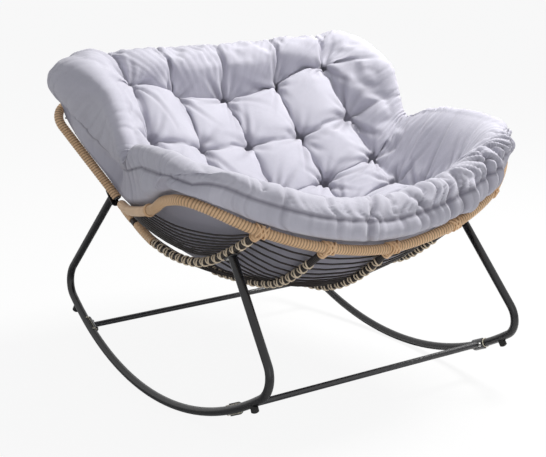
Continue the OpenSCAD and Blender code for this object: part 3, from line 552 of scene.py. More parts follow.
height = maths(cloth_threads, "ADD", maths(cloth_threads, "MULTIPLY", woven, 0.5),
               maths(cloth_threads, "MULTIPLY", slubs, 0.5))
crumple = noise_of(cloth_threads, gi.outputs["Place"], 48.0, 3.0, 0.55)
height = maths(cloth_threads, "ADD", height, maths(cloth_threads, "MULTIPLY", crumple, 5.0))
cloth_threads.links.new(height, go.inputs["Height"])
matt = maths(cloth_threads, "MULTIPLY_ADD", slub, 0.15, 0.78)
cloth_threads.links.new(matt, go.inputs["Roughness"])
print("cloth_threads nodes:", len(cloth_threads.nodes))

# %% [markdown]
# Powder coat is sprayed on as dust and melted in an oven, which leaves a fine orange peel. Later, house
# dust settles on it in broad, faint clouds. Each is a noise texture, one fine and one coarse. Nylon, zinc
# and rubber wear in the same way, so they use this group with values of their own.

# %% Group: worn coat
worn_coat, gi, go = new_group(
    "worn_coat",
    [("Place", vector, None), ("Base", colour, (0.02, 0.02, 0.02, 1)), ("Dust", colour, (0.1, 0.1, 0.1, 1)),
     ("Grain", number, 900.0), ("Rough", number, 0.35)],
    [("Colour", colour), ("Height", number), ("Roughness", number)])
peel = noise_of(worn_coat, gi.outputs["Place"], gi.outputs["Grain"], 2.0)
cloud = noise_of(worn_coat, gi.outputs["Place"], 11.0, 4.0, 0.6)
dust = worn_coat.nodes.new("ShaderNodeMapRange")
dust.inputs["From Min"].default_value = 0.45
dust.inputs["From Max"].default_value = 0.8
dust.inputs["To Max"].default_value = 0.35
worn_coat.links.new(cloud, dust.inputs["Value"])
dusty = blend_colours(worn_coat, dust.outputs[0], gi.outputs["Base"], gi.outputs["Dust"])
worn_coat.links.new(dusty, go.inputs["Colour"])
worn_coat.links.new(peel, go.inputs["Height"])
dulled = maths(worn_coat, "ADD", maths(worn_coat, "MULTIPLY", cloud, 0.16), gi.outputs["Rough"])
worn_coat.links.new(dulled, go.inputs["Roughness"])
print("worn_coat nodes:", len(worn_coat.nodes))

# %% [markdown]
# Every group becomes a material in the same way: coordinates go in, and its colour, roughness and height
# go to a Principled BSDF. One function does this, so a finish is only a few values. Object coordinates
# belong to the piece, so the pattern stays in place when a body moves.


# %% Make a material from a group
def finish_with(name, group, values, bump, bump_depth, plain):
    """A material that takes colour, roughness and bump from a group, and its plain numbers directly."""
    made = bpy.data.materials.new(name)
    made.use_nodes = True
    tree = made.node_tree
    shader = tree.nodes["Principled BSDF"]
    where = tree.nodes.new("ShaderNodeTexCoord")
    effect = tree.nodes.new("ShaderNodeGroup")
    effect.node_tree = group
    tree.links.new(where.outputs["Object"], effect.inputs["Place"])
    for label in ("Along", "Cloth"):
        if label in effect.inputs:
            tree.links.new(where.outputs["UV"], effect.inputs[label])
    for label, value in values.items():
        effect.inputs[label].default_value = value
    tree.links.new(effect.outputs["Colour"], shader.inputs["Base Color"])
    tree.links.new(effect.outputs["Roughness"], shader.inputs["Roughness"])
    dent = tree.nodes.new("ShaderNodeBump")
    dent.inputs["Strength"].default_value = bump
    dent.inputs["Distance"].default_value = bump_depth
    tree.links.new(effect.outputs["Height"], dent.inputs["Height"])
    tree.links.new(dent.outputs["Normal"], shader.inputs["Normal"])
    for label, value in plain.items():
        shader.inputs[label].default_value = value
    return made


powder_look = {"Base": (0.006, 0.006, 0.007, 1), "Dust": (0.016, 0.016, 0.018, 1), "Rough": 0.2}
black_steel = finish_with("black_steel", worn_coat, powder_look, 0.12, 0.0004, {"Specular IOR Level": 0.5})
nylon_look = {"Base": (0.72, 0.66, 0.52, 1), "Dust": (0.5, 0.45, 0.34, 1), "Rough": 0.4}
cream_nylon = finish_with("nylon", worn_coat, nylon_look, 0.1, 0.0003, {"Subsurface Weight": 0.05})
zinc_look = {"Base": (0.5, 0.5, 0.49, 1), "Dust": (0.33, 0.33, 0.33, 1), "Grain": 1600.0, "Rough": 0.22}
zinc = finish_with("zinc", worn_coat, zinc_look, 0.1, 0.0002, {"Metallic": 1.0})
rubber_look = {"Base": (0.02, 0.02, 0.02, 1), "Dust": (0.09, 0.085, 0.08, 1), "Rough": 0.7}
rubber = finish_with("stopper_rubber", worn_coat, rubber_look, 0.35, 0.0004, {"Specular IOR Level": 0.3})
print("plain finishes:", len(bpy.data.materials))

# %% [markdown]
# Natural cane goes from pale straw to honey brown within one strip, so it has a light and a dark tone with
# streaks between them. The cane of the ribs is dyed nearly black. The cushion's cloth is a cool lilac
# grey that has faded a little, in broad clouds.

# %% Rattan and cloth
tan = {"Light": (0.88, 0.61, 0.37, 1), "Dark": (0.56, 0.33, 0.16, 1), "Streak": 0.6}
waxed = {"Specular IOR Level": 0.4, "Sheen Weight": 0.08}
tan_cane = finish_with("tan_rattan", cane_fibres, tan, 0.35, 0.0006, waxed)
tan_winding = finish_with("tan_winding", cane_fibres, {**tan, "Turn": 8.0, "Gap": 0.95}, 0.35, 0.0006, waxed)
flat_turns = {"Streak": 0.7, "Turn": 12.0, "Gap": 0.3}
tan_peel = finish_with("tan_peel", cane_fibres, {**tan, **flat_turns}, 0.35, 0.0006, waxed)
pale_look = {"Light": (0.92, 0.8, 0.62, 1), "Dark": (0.7, 0.55, 0.38, 1), "Streak": 0.5}
pale_cane = finish_with("pale_rattan", cane_fibres, pale_look, 0.3, 0.0004, {"Specular IOR Level": 0.4})
dark_look = {"Light": (0.03, 0.022, 0.018, 1), "Dark": (0.009, 0.007, 0.006, 1), "Streak": 0.7}
dark_cane = finish_with(
    "dark_rattan", cane_fibres, dark_look, 0.35, 0.0005, {"Specular IOR Level": 0.45, "Sheen Weight": 0.05})
lilac_grey = {"Base": (0.49, 0.483, 0.553, 1), "Faded": (0.58, 0.572, 0.642, 1), "Thread": 1.3}
cushion_cloth = finish_with(
    "cushion_cloth", cloth_threads, lilac_grey, 0.28, 0.0004,
    {"Sheen Weight": 0.22, "Sheen Roughness": 0.45, "Specular IOR Level": 0.25})
print("all finishes:", len(bpy.data.materials))

# %% [markdown]
# Seams and deep creases get painted shade: a dark tone is mixed into the cloth's colour there, for the
# shade that falls in them. Where they lie is known only when the cushion is made, so it is written to the
# mesh as an attribute, and the material mixes the dark tone in by it.

# %% Paint shade into the seams and creases
cloth_tree = cushion_cloth.node_tree
crease_shade_attribute = cloth_tree.nodes.new("ShaderNodeAttribute")
crease_shade_attribute.attribute_name = "painted_crease_shade"
cloth_shader = cloth_tree.nodes["Principled BSDF"]
dyed_cloth = cloth_shader.inputs["Base Color"].links[0].from_socket
# Painted shade: the attribute mixes a dark lilac into the cloth's colour along the seams and in the creases.
darkness = maths(cloth_tree, "MULTIPLY", crease_shade_attribute.outputs["Fac"], 0.75)
shade_painted_cloth = blend_colours(cloth_tree, darkness, dyed_cloth, (0.16, 0.15, 0.19, 1))
cloth_tree.links.new(shade_painted_cloth, cloth_shader.inputs["Base Color"])
print("cushion_cloth nodes:", len(cloth_tree.nodes))

# %% [markdown]
# The rockers, bars, bolts, liners, stoppers and strands keep their CAD shapes and only need a better
# finish. Each node's material slot is looked up in the record, and its plain finish is exchanged for
# the detailed one. The crossbars are a little greyer than the rockers, so they get a coat of their own.

# %% Finish the CAD nodes
slot_finish = {
    "black_steel": black_steel, "nylon": cream_nylon, "zinc": zinc, "stopper_rubber": rubber,
    "tan_rattan": tan_cane, "dark_rattan": dark_cane, "cushion_cloth": cushion_cloth,
}
bar_look = {"Base": (0.02, 0.02, 0.023, 1), "Dust": (0.05, 0.05, 0.055, 1), "Rough": 0.2}
bar_steel = finish_with("bar_steel", worn_coat, bar_look, 0.12, 0.0004, {"Specular IOR Level": 0.6})
node_slot = {part["node"]: part["material_slot"] for part in frame["record"]["subparts"]}
for name, node in nodes.items():
    node.data.materials.clear()
    node.data.materials.append(slot_finish[node_slot[name]])
for name in ("crossbar_front", "crossbar_rear"):
    nodes[name].data.materials[0] = bar_steel
print("finished nodes:", len(nodes))

# %% [markdown]
# ## Wound rim, hoop and arms
#
# A steel tube is wrapped tightly with round cane, turn beside turn, so its surface is a row of small
# ridges. Each turn climbs by its own width, so the ridges lean a little. Real turns could each be a
# ring of their own, but some four hundred rings are heavy and leave gaps. A single tube whose rings
# lean by one ridge, and whose radius rises and falls along it, has exactly that surface. The arms have
# flat peel instead, laid almost smooth.

# %% Runs along the frame
rim_end_v = 2.25
front_a = np.arange(0, 2.76, 0.05)
side_v = np.arange(0.04, rim_end_v + 0.01, 0.05)
half_rim = np.concatenate([guide(front_a, 0 * front_a), edge_at(side_v)])
rim_run = np.concatenate([half_rim[:0:-1] * other_side, half_rim])
arm_v = np.arange(rim_end_v, 4.62, 0.04)
arm_run = edge_at(arm_v)
hoop_turn = np.radians(np.linspace(90, -splay_angle, 24))
bend_x = hoop_bar_half + hoop_bend_r * np.cos(hoop_turn)
bend_q = hoop_rise - hoop_bend_r * (1 - np.sin(hoop_turn))
hoop_bend = np.array([on_back(x, q) for x, q in zip(bend_x, bend_q)])
foot_q = 3.9
hoop_foot = np.array([on_back(junction[0] + foot_q * splay, foot_q)])
half_hoop = np.concatenate([[on_back(0, hoop_rise)], hoop_bend, hoop_foot])
hoop_run = np.concatenate([half_hoop[:0:-1] * other_side, half_hoop])
arm_low, arm_high = (np.array(c) * 1000 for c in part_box("arm_wrap_right"))
print("arm wrap:", arm_low.round(1), arm_high.round(1), "run end:", arm_run[-1].round(1))

# %% Wind the rim and the hoop
cane_pitch, peel_pitch, sleeve_pitch = 8.0, 12.0, 10.0
wound_r = wrap_r - 0.7


def turns_of_cane(pitch, depth):
    """Radius change along a winding of round cane: full on the ridges, less between them."""
    return lambda s, u: depth * (np.sqrt(np.abs(np.sin(math.pi * s / pitch))) - 1)


bm = bmesh.new()
add_tube(bm, rim_run, wound_r, 18, cane_pitch / 6, cane_pitch, turns_of_cane(cane_pitch, 2.4))
rim_cane = finish_piece(bm, "rim_cane", tan_winding, "frame")
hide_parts("rim_winding")
bm = bmesh.new()
add_tube(bm, hoop_run, wound_r, 18, cane_pitch / 6, cane_pitch, turns_of_cane(cane_pitch, 2.2))
hoop_cane = finish_piece(bm, "hoop_cane", tan_winding, "frame")
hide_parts("hoop_winding")

# %% [markdown]
# The arm's peel is flat and wide, so its turns show only as fine steps.
# The side rails carry the same peel below the junction, with a dark coupling between two lengths of it.

# %% Wind the arms and rail sleeves
sleeve_rows = ((4.0, 4.98), (5.12, 5.75))
for side, word in ((1, "right"), (-1, "left")):
    flip = np.array([side, 1, 1])
    bm = bmesh.new()
    add_tube(bm, arm_run * flip, wound_r, 18, peel_pitch / 4, peel_pitch, turns_of_cane(peel_pitch, 0.55))
    arm_cane = finish_piece(bm, "arm_cane_" + word, tan_peel, "frame")
    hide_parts("arm_wrap_" + word)
    bm = bmesh.new()
    for start, stop in sleeve_rows:
        run = guide(2 * side, np.linspace(start, stop, 40))
        add_tube(bm, run, rib_r + 3.4, 16, sleeve_pitch / 4, sleeve_pitch, turns_of_cane(sleeve_pitch, 0.7))
    sleeve_cane = finish_piece(bm, "rail_cane_" + word, tan_peel, "frame")
    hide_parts("rail_sleeves_" + word)

# %% [markdown]
# ## Dark ribs with pale lashings
#
# The ribs are steel rods wound with thin dark cane. Pale cane ties hold them, at even gaps below the
# seat and at each strand of the back. A tie is one loop of cane set at a slant. Two loops with opposite
# slants cross and make the V that the eye sees.

# %% Wind the ribs and rails
rib_runs = {
    "seat_rib_left": (-1, 0.10, 4.60), "seat_rib_centre": (0, 0.10, 4.42), "seat_rib_right": (1, 0.10, 4.60),
    "back_rib_left": (-1, 4.66, 7.92), "back_rib_centre": (0, 4.48, 7.92), "back_rib_right": (1, 4.66, 7.92),
    "side_rail_left": (-2, 0.10, 5.95), "side_rail_right": (2, 0.10, 5.95),
}
rib_pitch = 6.5
for name, (a, start, stop) in rib_runs.items():
    bm = bmesh.new()
    rib_run = guide(a, np.linspace(start, stop, 160))
    add_tube(bm, rib_run, rib_r + 0.2, 14, rib_pitch / 5, rib_pitch, turns_of_cane(rib_pitch, 1.3))
    wound_name = name.replace("rib", "rib_cane").replace("rail", "rail_wound")
    rib = finish_piece(bm, wound_name, dark_cane, "frame")
    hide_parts(name)

# %% Places of the ties
tie_gap, strand_gap = 31, 27
first_tie_v = 0.3 + strand_gap / np.linalg.norm(guide(1, 1.01) - guide(1, 0.99)) * 0.02
last_tie_v = 4.4
back_v = np.arange(5.3, 7.71, 0.4)
print("first tie at row", round(float(first_tie_v), 3), "and back strands at", back_v.round(1))


# %% Tie the ribs
def tie(bm, a, v, thick, r=rib_r + 1.4, tilt=30):
    """Two crossed loops of pale cane round the rib at column a, row v."""
    middle = guide(a, v)[0]
    ahead = unit(guide(a, v + 0.01) - guide(a, v - 0.01))[0]
    upward = guide_normal(a, v)[0]
    side = unit(np.cross(ahead, upward))
    for way in (-1, 1):
        slant = math.radians(way * tilt)
        lean = side * math.cos(slant) + ahead * math.sin(slant)
        add_loop(bm, middle, r * upward, r / math.cos(slant) * lean, thick)


bm = bmesh.new()
for a in (-2, -1, 0, 1, 2):
    v = first_tie_v
    while v < last_tie_v:
        tie(bm, a, v, 2.0)
        v += tie_gap / (50 * np.linalg.norm(guide(a, v + 0.01) - guide(a, v - 0.01)))
for a in (-1, 0, 1):
    for v in back_v:
        tie(bm, a, v, 1.9)
finish_piece(bm, "rib_ties", pale_cane, "frame")

# %% [markdown]
# Where a rib meets the rim, several turns of cane cross over both.
# They are thicker than the ties, and they lean both ways over the joint.

# %% Lash the ribs to the rim
def lashing(bm, middle, ahead, outward, r, tilts, gap, thick):
    """Loops round the rim's line at middle, each shifted along by gap and leaning by its tilt."""
    ahead = unit(ahead)
    outward = unit(outward - np.dot(outward, ahead) * ahead)
    side = np.cross(ahead, outward)
    for k, tilt in enumerate(tilts):
        slant = math.radians(tilt)
        lean = side * math.cos(slant) + ahead * math.sin(slant)
        shift = (k - (len(tilts) - 1) / 2) * gap * ahead
        add_loop(bm, middle + shift, r * outward, r / math.cos(slant) * lean, thick)


bm = bmesh.new()
for a in (-2, -1, 0, 1, 2):
    middle = guide(a, 0)[0]
    ahead = (guide(a + 0.02, 0) - guide(a - 0.02, 0))[0]
    inward = (guide(a, 0.05) - guide(a, 0))[0]
    lashing(bm, middle, ahead, inward, wrap_r + 0.8, (-32, 30, -30, 32), 5.5, 2.7)
    rib_ahead = unit(inward)
    for k in range(3):
        joint = middle + (wrap_r + 7 + 8 * k) * rib_ahead
        tilts = (24, -24) if k < 2 else (12,)
        lashing(bm, joint, rib_ahead, np.array([0, 0, 1.0]), rib_r + 1.6, tilts, 3, 2.5)
for side in (-1, 1):
    flip = np.array([side, 1, 1])
    middle = edge_at(rim_end_v)[0] * flip
    ahead = (edge_at(rim_end_v + 0.02) - edge_at(rim_end_v - 0.02))[0] * flip
    lashing(bm, middle, ahead, np.array([0, 0, 1.0]), wrap_r + 0.6, (8, 8, 8), 5.2, 2.4)
finish_piece(bm, "rim_lashings", tan_cane, "frame")

# %% [markdown]
# ## Net under the seat
#
# Deeper in the basket, thin cords cross between the ribs and carry the cushion.
# Each cord is a thin tube on the guide surface, so it lies between the ribs and just under the cushion.

# %% String the net
bm = bmesh.new()
net_v = np.arange(2.6, 4.35, 0.3)
cord_r, inset = 1.3, 0.05
f = np.linspace(0, 1, 14)
for a in (-2, -1, 0, 1):
    across = a + inset + (1 - 2 * inset) * f
    for k in range(len(net_v) - 1):
        ends = (net_v[k], net_v[k + 1]) if k % 2 else (net_v[k + 1], net_v[k])
        for begin, end in (ends, ends[::-1]):
            add_tube(bm, guide(across, begin + (end - begin) * f), cord_r, 6, 12)
finish_piece(bm, "seat_net", dark_cane, "frame")

# %% [markdown]
# ## The cushion's net
#
# A tufted cushion is a flat bag of cloth, pulled through at its tufts. Between four tufts the filling
# swells to a pillow, and along the edge it swells to a roll. So the shape hangs on a net of knots: five
# columns from the middle to the side seam, ten rows from the front seam to the top seam. Two
# directions, i across and j along, name any point of the cloth. The knots are given by their place
# along the guide and their height off it, so the cushion follows the basket.

# %% Knots of the cushion
tuft_across = (0, 0.86, 1.78)
tuft_rows = [
    [(0.35, 0.3, 0.25), (146, 136, 124), 0],
    [(1, 0.8, 1), (92, 82, 94), 0],
    [(2, 1.85, 1.9), (115, 98, 109), 0],
    [(3, 2.9, 2.9), (137, 117, 126), 5],
    [(5.2, 4.9, 4.4), (157, 177, 168), 25],
    [(6.4, 6.3, 6.25), (144, 163, 218), back_lean],
    [(7.25, 7.3, 7.3), (139, 168, 228), back_lean],
    [(7.84, 7.84, 7.82), (230, 240, 248), back_lean],
]
side_seam = [(0, 52, 12), (0.55, 56, 12), (1.15, 74, 20), (2.3, 112, 18), (3.4, 112, 10),
             (4.6, 110, 10), (5.7, 120, 16), (6.8, 104, 20), (7.5, 92, 24), (8, 74, 30)]
side_crest = [(-37, 74, 54), (-29, 54, 94), (-2, 77, 148), (36, 120, 180),
              (85, 189, 178), (97, 238, 208), (65, 265, 204), (66, 112, 172)]
seam_v = np.array([s[0] for s in side_seam])


def off(tilt):
    """A direction off the frame that leans forward by so many degrees."""
    t = np.radians(np.asarray(tilt, float))
    return np.stack([0 * t, -np.sin(t), np.cos(t)], -1)


def boxing_dir(v):
    """The direction in which the boxed edge stands at row v."""
    return off(back_lean * np.clip((np.asarray(v, float) - 4.1) / 1.4, 0, 1))


front_heights, top_heights, end_out = (78, 78, 76, 72), (88, 88, 84, 74), (14, 14, 16, 18)
end_columns = (0, 1, 2, 2.62)
front_reach, top_reach = 8, 16


def net_knot(i, j):
    """Knot i, j of the cushion's net, in millimetres."""
    v, up, out = side_seam[j]
    end = (np.array([0, -1.0, 0]) if j == 0 else up_back) if j in (0, 9) else np.zeros(3)
    if i == 4:
        reach = front_reach if j == 0 else top_reach
        return edge_at(v)[0] + up * boxing_dir(v) + np.array([out, 0, 0]) + reach * end
    if j in (0, 9):
        aside = unit(end + np.array([0.5 if i == 3 else 0, 0, 0]))
        height = front_heights[i] if j == 0 else top_heights[i]
        return guide(end_columns[i], v)[0] + height * boxing_dir(v) + end_out[i] * aside
    if i == 3:
        outward, forward, upward = side_crest[j - 1]
        return edge_at(v)[0] + np.array([outward, -forward, upward])
    places, heights, tilt = tuft_rows[j - 1]
    spread = 1.1 if j in (1, 8) else 1
    return guide(spread * tuft_across[i], places[i])[0] + heights[i] * off(tilt)


net_columns = np.array([[net_knot(i, j) for j in range(10)] for i in range(5)])
print("net knots:", net_columns.shape[0] * net_columns.shape[1])


# %% [markdown]
# Pillows swell most in their middles. Between two tufts of a row the cloth sags to a saddle and doesn't
# reach the tufts' depth, which keeps the pillows from looking like tiles. A roll is a wide arch over
# two cells, steeper on its outer side. Where a row of tufts meets it, its inner flank is pulled down.
# All of this is a height above the net, so it follows the net wherever that bends.


# %% Pillows and rolls
def net_at(i, j):
    """The net's smooth surface through its knots."""
    columns = [smooth(column, j) for column in net_columns]
    return across_knots(columns, 2 * columns[4] - columns[3], i + 4)


def net_normal(i, j):
    """Directions square to the net, out of the cushion."""
    e = 0.05
    across = net_at(np.minimum(i + e, 4), j) - net_at(np.maximum(i - e, -4), j)
    along = net_at(i, np.minimum(j + e, 9)) - net_at(i, np.maximum(j - e, 0))
    return unit(np.cross(across, along))


def roll(x, across, outer, inner, least):
    """A roll's height at x cells from the seam. Tufts pull its inner flank down to a least share."""
    x = np.clip(x, 0, 2)
    inside = np.clip((x - 0.7) / 0.6, 0, 1)
    form = 0.3 * np.abs(np.sin(math.pi * x)) ** 0.8 + 0.75 * np.sin(math.pi * x / 2) ** 0.7
    return (outer + (inner - outer) * inside) * form * (1 - (1 - least) * inside * (1 - across))


pillow_high, saddle_on_column, saddle_on_row = 44, 0.36, 0.6
arm_outer, arm_inner, end_outer, end_inner = 17, 31, 19, 25
front_notch, top_notch = 2, 7


def rise_at(i, j):
    """How far the filling swells off the net: pillows inside, and rolls along the edge."""
    n, from_end = np.abs(i), np.where(j < 4.5, j, 9 - j)
    hi, hj = np.sqrt(np.abs(np.sin(math.pi * i))), np.sqrt(np.abs(np.sin(math.pi * j)))
    pillow = pillow_high * (hi * hj + saddle_on_column * (1 - hi) * hj + saddle_on_row * (1 - hj) * hi)
    on_wing = np.clip(j - 4.5, 0, 1)
    roll_side = roll(4 - n, hj, arm_outer - 12 * on_wing, arm_inner - 6 * on_wing, 0.75)
    front = j < 4.5
    notch_deep = np.where(front, front_notch, top_notch)
    notch = notch_deep * (1 - hi) * np.clip(1.4 - from_end, 0, 1) * np.clip(from_end, 0, 1)
    roll_end = roll(from_end, hi, end_outer + 3 * on_wing, end_inner, np.where(front, 0.7, 0.5)) - notch
    near_end, near_side = np.clip(1.6 * from_end, 0, 1) ** 0.6, np.clip(1.6 * (4 - n), 0, 1) ** 0.6
    corner = (np.maximum(roll_side * near_end, 0) ** 3 + np.maximum(roll_end * near_side, 0) ** 3) ** (1 / 3)
    side, end = n > 2, from_end < 2
    return np.where(side & end, corner, np.where(side, roll_side, np.where(end, roll_end, pillow)))


def cushion_top(i, j):
    """The cushion's upper side."""
    return net_at(i, j) + rise_at(i, j)[:, None] * net_normal(i, j)


above_ribs, above_rim, rim_gap = rib_r + 0.9, wrap_r + 13, 1.6 * wrap_r


def cushion_bottom(i, j):
    """The cushion's underside: it rests on the ribs, spans the side rails' hollow and clears the rim."""
    n = np.abs(i)
    f = np.clip((n - 2) / 2, 0, 1)
    v_in = np.interp(j, range(10), (0, 0.5, 1, 2, 3, 4.9, 6.3, 7.3, 7.7, 8))
    v_out = np.interp(j, range(10), seam_v)
    a = np.sign(i) * np.interp(n, range(5), (0, 0.9, 1.8, 2.5, 3))
    v = v_in * (1 - f) + v_out * f

    def lifted(a, v):
        near = np.clip(np.maximum(np.maximum(np.abs(a) - 1, 1 - v), v - last_row + 1), 0, 1)
        height = above_ribs + (above_rim - above_ribs) * near
        return guide(a, v) + height[:, None] * guide_normal(a, v)

    rim = guide(a, v) + rim_gap * boxing_dir(v)
    free = lifted(a, v)
    bridge = np.clip(np.minimum(v - 3.4, 7.6 - v) / 0.8, 0, 1)[:, None]
    far = guide(np.sign(i) * 3, v) + rim_gap * boxing_dir(v)
    straight = lifted(np.sign(i) * 1.8, v_in) * (1 - f)[:, None] + far * f[:, None]
    under = np.where((n > 2)[:, None], free * (1 - bridge) + straight * bridge, free)
    at_edge = (n > 3.999) | (j < 0.001) | (j > 8.999)
    return np.where(at_edge[:, None], rim, under)


probe = np.array([0.5]), np.array([3.5])
print("a seat pillow's top:", cushion_top(*probe).round(1))

# %% [markdown]
# ## Sewing the cushion
#
# The cover is cut flat: an upper sheet, a lower sheet, and a band between them, sewn along two seams. A
# remeshed solid would lose those seams, so the mesh is made in the tailor's way. Two grids lie above
# each other in the flat space of the directions i and j, the band is bridged between their borders, and
# then the whole flat bag is laid on the net. Each point keeps its flat place, so that creases can be
# put on it later.

# %% Cut and sew the bag
steps_per_pillow = 16
cell_wide, cell_long, band_high = 140, 130, 80
bm = bmesh.new()
for level in (0, -1):
    made = bmesh.ops.create_grid(
        bm, x_segments=8 * steps_per_pillow, y_segments=9 * steps_per_pillow, size=1.0)["verts"]
    for vert in made:
        vert.co = (4 * vert.co.x, 4.5 + 4.5 * vert.co.y, level)
    if level:
        bmesh.ops.reverse_faces(bm, faces=list({f for v in made for f in v.link_faces}))
border = [e for e in bm.edges if e.is_boundary]
bmesh.ops.bridge_loops(bm, edges=border)
risers = [e for e in bm.edges if abs(e.verts[0].co.z - e.verts[1].co.z) > 0.5]
bmesh.ops.subdivide_edges(bm, edges=risers, cuts=4, use_grid_fill=True)
cloth_uv = bm.loops.layers.uv.new("cloth")
for face in bm.faces:
    upright = abs(face.normal.z) < 0.5
    along_i = upright and abs(face.normal.y) > 0.5
    for loop in face.loops:
        flat = loop.vert.co
        if upright:
            loop[cloth_uv].uv = ((flat.x if along_i else flat.y) * cell_wide, flat.z * band_high)
        else:
            loop[cloth_uv].uv = (flat.x * cell_wide, flat.y * cell_long)
bmesh.ops.recalc_face_normals(bm, faces=bm.faces)
flat_place = np.array([v.co for v in bm.verts])
print("bag:", len(bm.verts), "points,", len(bm.faces), "faces")


# %% Lay the bag on the net
band_bulge, wing_bulge = 25, 9


def laid(flat):
    """Where the bag's flat points lie on the chair, in millimetres."""
    i, j, depth = flat[:, 0], flat[:, 1], -flat[:, 2]
    upper, lower = cushion_top(i, j), cushion_bottom(i, j)
    inward = cushion_top(0.94 * i, 4.5 + 0.94 * (j - 4.5))
    wall = upper - lower
    outward = upper - inward
    wall_part = np.sum(outward * wall, 1)[:, None] * wall / np.maximum(np.sum(wall * wall, 1), 1)[:, None]
    outward = outward - wall_part
    on_wing = (np.abs(i) > 3.99) * np.clip(j - 4.5, 0, 1)
    bulge = 4 * depth * (1 - depth) * (band_bulge + wing_bulge * on_wing)
    swell = np.where((depth > 0.001) & (depth < 0.999), bulge, 0)
    return upper * (1 - depth)[:, None] + lower * depth[:, None] + swell[:, None] * unit(outward)


start = laid(flat_place)
for vert, point in zip(bm.verts, start):
    vert.co = point * 0.001
bmesh.ops.recalc_face_normals(bm, faces=bm.faces)
cushion_mesh = bpy.data.meshes.new("cushion_cover")
bm.to_mesh(cushion_mesh)
bm.free()
flat_layer = cushion_mesh.attributes.new("flat_place", "FLOAT_VECTOR", "POINT")
flat_layer.data.foreach_set("vector", flat_place.astype(np.float32).ravel())
cushion_cover = bpy.data.objects.new("cushion_cover", cushion_mesh)
bpy.context.scene.collection.objects.link(cushion_cover)
cushion_mesh.shade_smooth()
print("bag laid, box:", start.min(0).round(), start.max(0).round())

# %% [markdown]
# ## Filling it
#
# Blender's cloth simulation does what loose fibre does in the bag: pressure pushes the cover out, and
# the cover's threads hold it back. It fills the tufted part, where thread pins each tuft and holds the
# channels a little. The rolls, the band and the underside already have their full form, so they stay
# pinned. A little extra cloth (a negative shrink) lets it crease at the tufts. Gravity is off, since
# the filling carries itself. The move of each point is capped, so that the cushion keeps to the space
# that the CAD model gives it.

# %% Pin what is sewn
i, j, depth = flat_place[:, 0], flat_place[:, 1], -flat_place[:, 2]
near_i = np.abs(i - np.round(i))
near_j = np.abs(j - np.round(j))
tuft = np.exp(-((near_i / 0.13) ** 2 + (near_j / 0.13) ** 2))
tufted = (np.abs(i) < 2.3 + 0.3 * (j > 4.5)) & (j > 1.3) & (j < 8.2)
channel = np.maximum(np.exp(-((near_i / 0.06) ** 2)), 0.35 * np.exp(-((near_j / 0.06) ** 2)))
hold = np.where(tufted, np.maximum(tuft, 0.12 * channel), 1)
seam_hold = np.exp(-((np.minimum(4 - np.abs(i), np.minimum(j, 9 - j)) / 0.12) ** 2))
hold = np.maximum(hold, 0.9 * seam_hold)
hold = np.where(depth > 0.3, 1, hold)
pins = cushion_cover.vertex_groups.new(name="held")
for k, weight in enumerate(hold):
    pins.add([k], float(min(weight, 1)), "REPLACE")
print("fully held points:", int((hold > 0.99).sum()))


# %% Fill the bag
def vectors_of(items, field):
    """The items' vectors as one array, a row for each."""
    values = np.zeros(len(items) * 3, np.float32)
    items.foreach_get(field, values)
    return values.reshape(-1, 3).astype(float)


def fill_with_fibre(piece, pressure, slack, frames):
    """Runs the cloth simulation on the piece and returns its points afterwards."""
    cloth = piece.modifiers.new("filling", "CLOTH")
    settings = cloth.settings
    settings.quality = 6
    settings.mass = 0.25
    settings.tension_stiffness = 22
    settings.compression_stiffness = 12
    settings.shear_stiffness = 6
    settings.bending_stiffness = 0.25
    settings.tension_damping = 8
    settings.compression_damping = 8
    settings.shear_damping = 5
    settings.bending_damping = 0.6
    settings.air_damping = 2
    settings.use_pressure = True
    settings.uniform_pressure_force = pressure
    settings.shrink_min = slack
    settings.vertex_group_mass = "held"
    settings.pin_stiffness = 1.0
    settings.effector_weights.gravity = 0
    cloth.collision_settings.use_collision = False
    cloth.point_cache.frame_start = 1
    cloth.point_cache.frame_end = frames
    scene = bpy.context.scene
    for frame_number in range(1, frames + 1):
        scene.frame_set(frame_number)
    filled = piece.evaluated_get(bpy.context.evaluated_depsgraph_get())
    points = vectors_of(filled.data.vertices, "co")
    piece.modifiers.remove(cloth)
    scene.frame_set(1)
    return points


farthest_move = 0.018
rest = vectors_of(cushion_mesh.vertices, "co")
swollen = fill_with_fibre(cushion_cover, pressure=2.0, slack=-0.1, frames=16)
move = swollen - rest
far = np.linalg.norm(move, axis=1, keepdims=True)
move = move * np.minimum(1, farthest_move / np.maximum(far, 1e-6))
cushion_mesh.vertices.foreach_set("co", (rest + move).astype(np.float32).ravel())
cushion_mesh.update()
print("the filling moved the cover by up to", round(float(far.max()) * 1000, 1), "mm before the cap")

# %% [markdown]
# ## Creases
#
# Cloth tells its story in creases, and most of them are finer than a simulation of this size can make.
# So the cover is made finer once, and each crease is then a push or a pull along the point's own
# direction. How far it goes is a formula of the point's flat place on the bag. Two arrays collect the
# result: push in millimetres, and dark for the shade that gathers in the creases.

# %% Make the cover finer
finer = cushion_cover.modifiers.new("finer", "SUBSURF")
finer.levels = 1
finer.render_levels = 1
refined = cushion_cover.evaluated_get(bpy.context.evaluated_depsgraph_get())
cover_mesh = bpy.data.meshes.new_from_object(refined)
cushion_cover.modifiers.remove(finer)
cushion_cover.data = cover_mesh
flat_place = vectors_of(cover_mesh.attributes["flat_place"].data, "vector")
i, j, depth = flat_place[:, 0], flat_place[:, 1], -flat_place[:, 2]
# dark collects painted shade for the creases, which the cloth's colour reads later.
push, dark = 0 * i, 0 * i
on_top = depth < 0.02
print("cover:", len(push), "points, of which", int(on_top.sum()), "on the upper sheet")


# %% Uneven waves
def waves(x, longest, shortest, seed):
    """An uneven wave along x, mostly between -1 and 1: seven sines with lengths picked by the seed."""
    pick = np.random.default_rng(seed)
    total = 0 * x
    for _ in range(7):
        length = shortest * (longest / shortest) ** pick.random()
        total = total + np.sin(2 * math.pi * (x / length + pick.random()))
    return total / 3.5


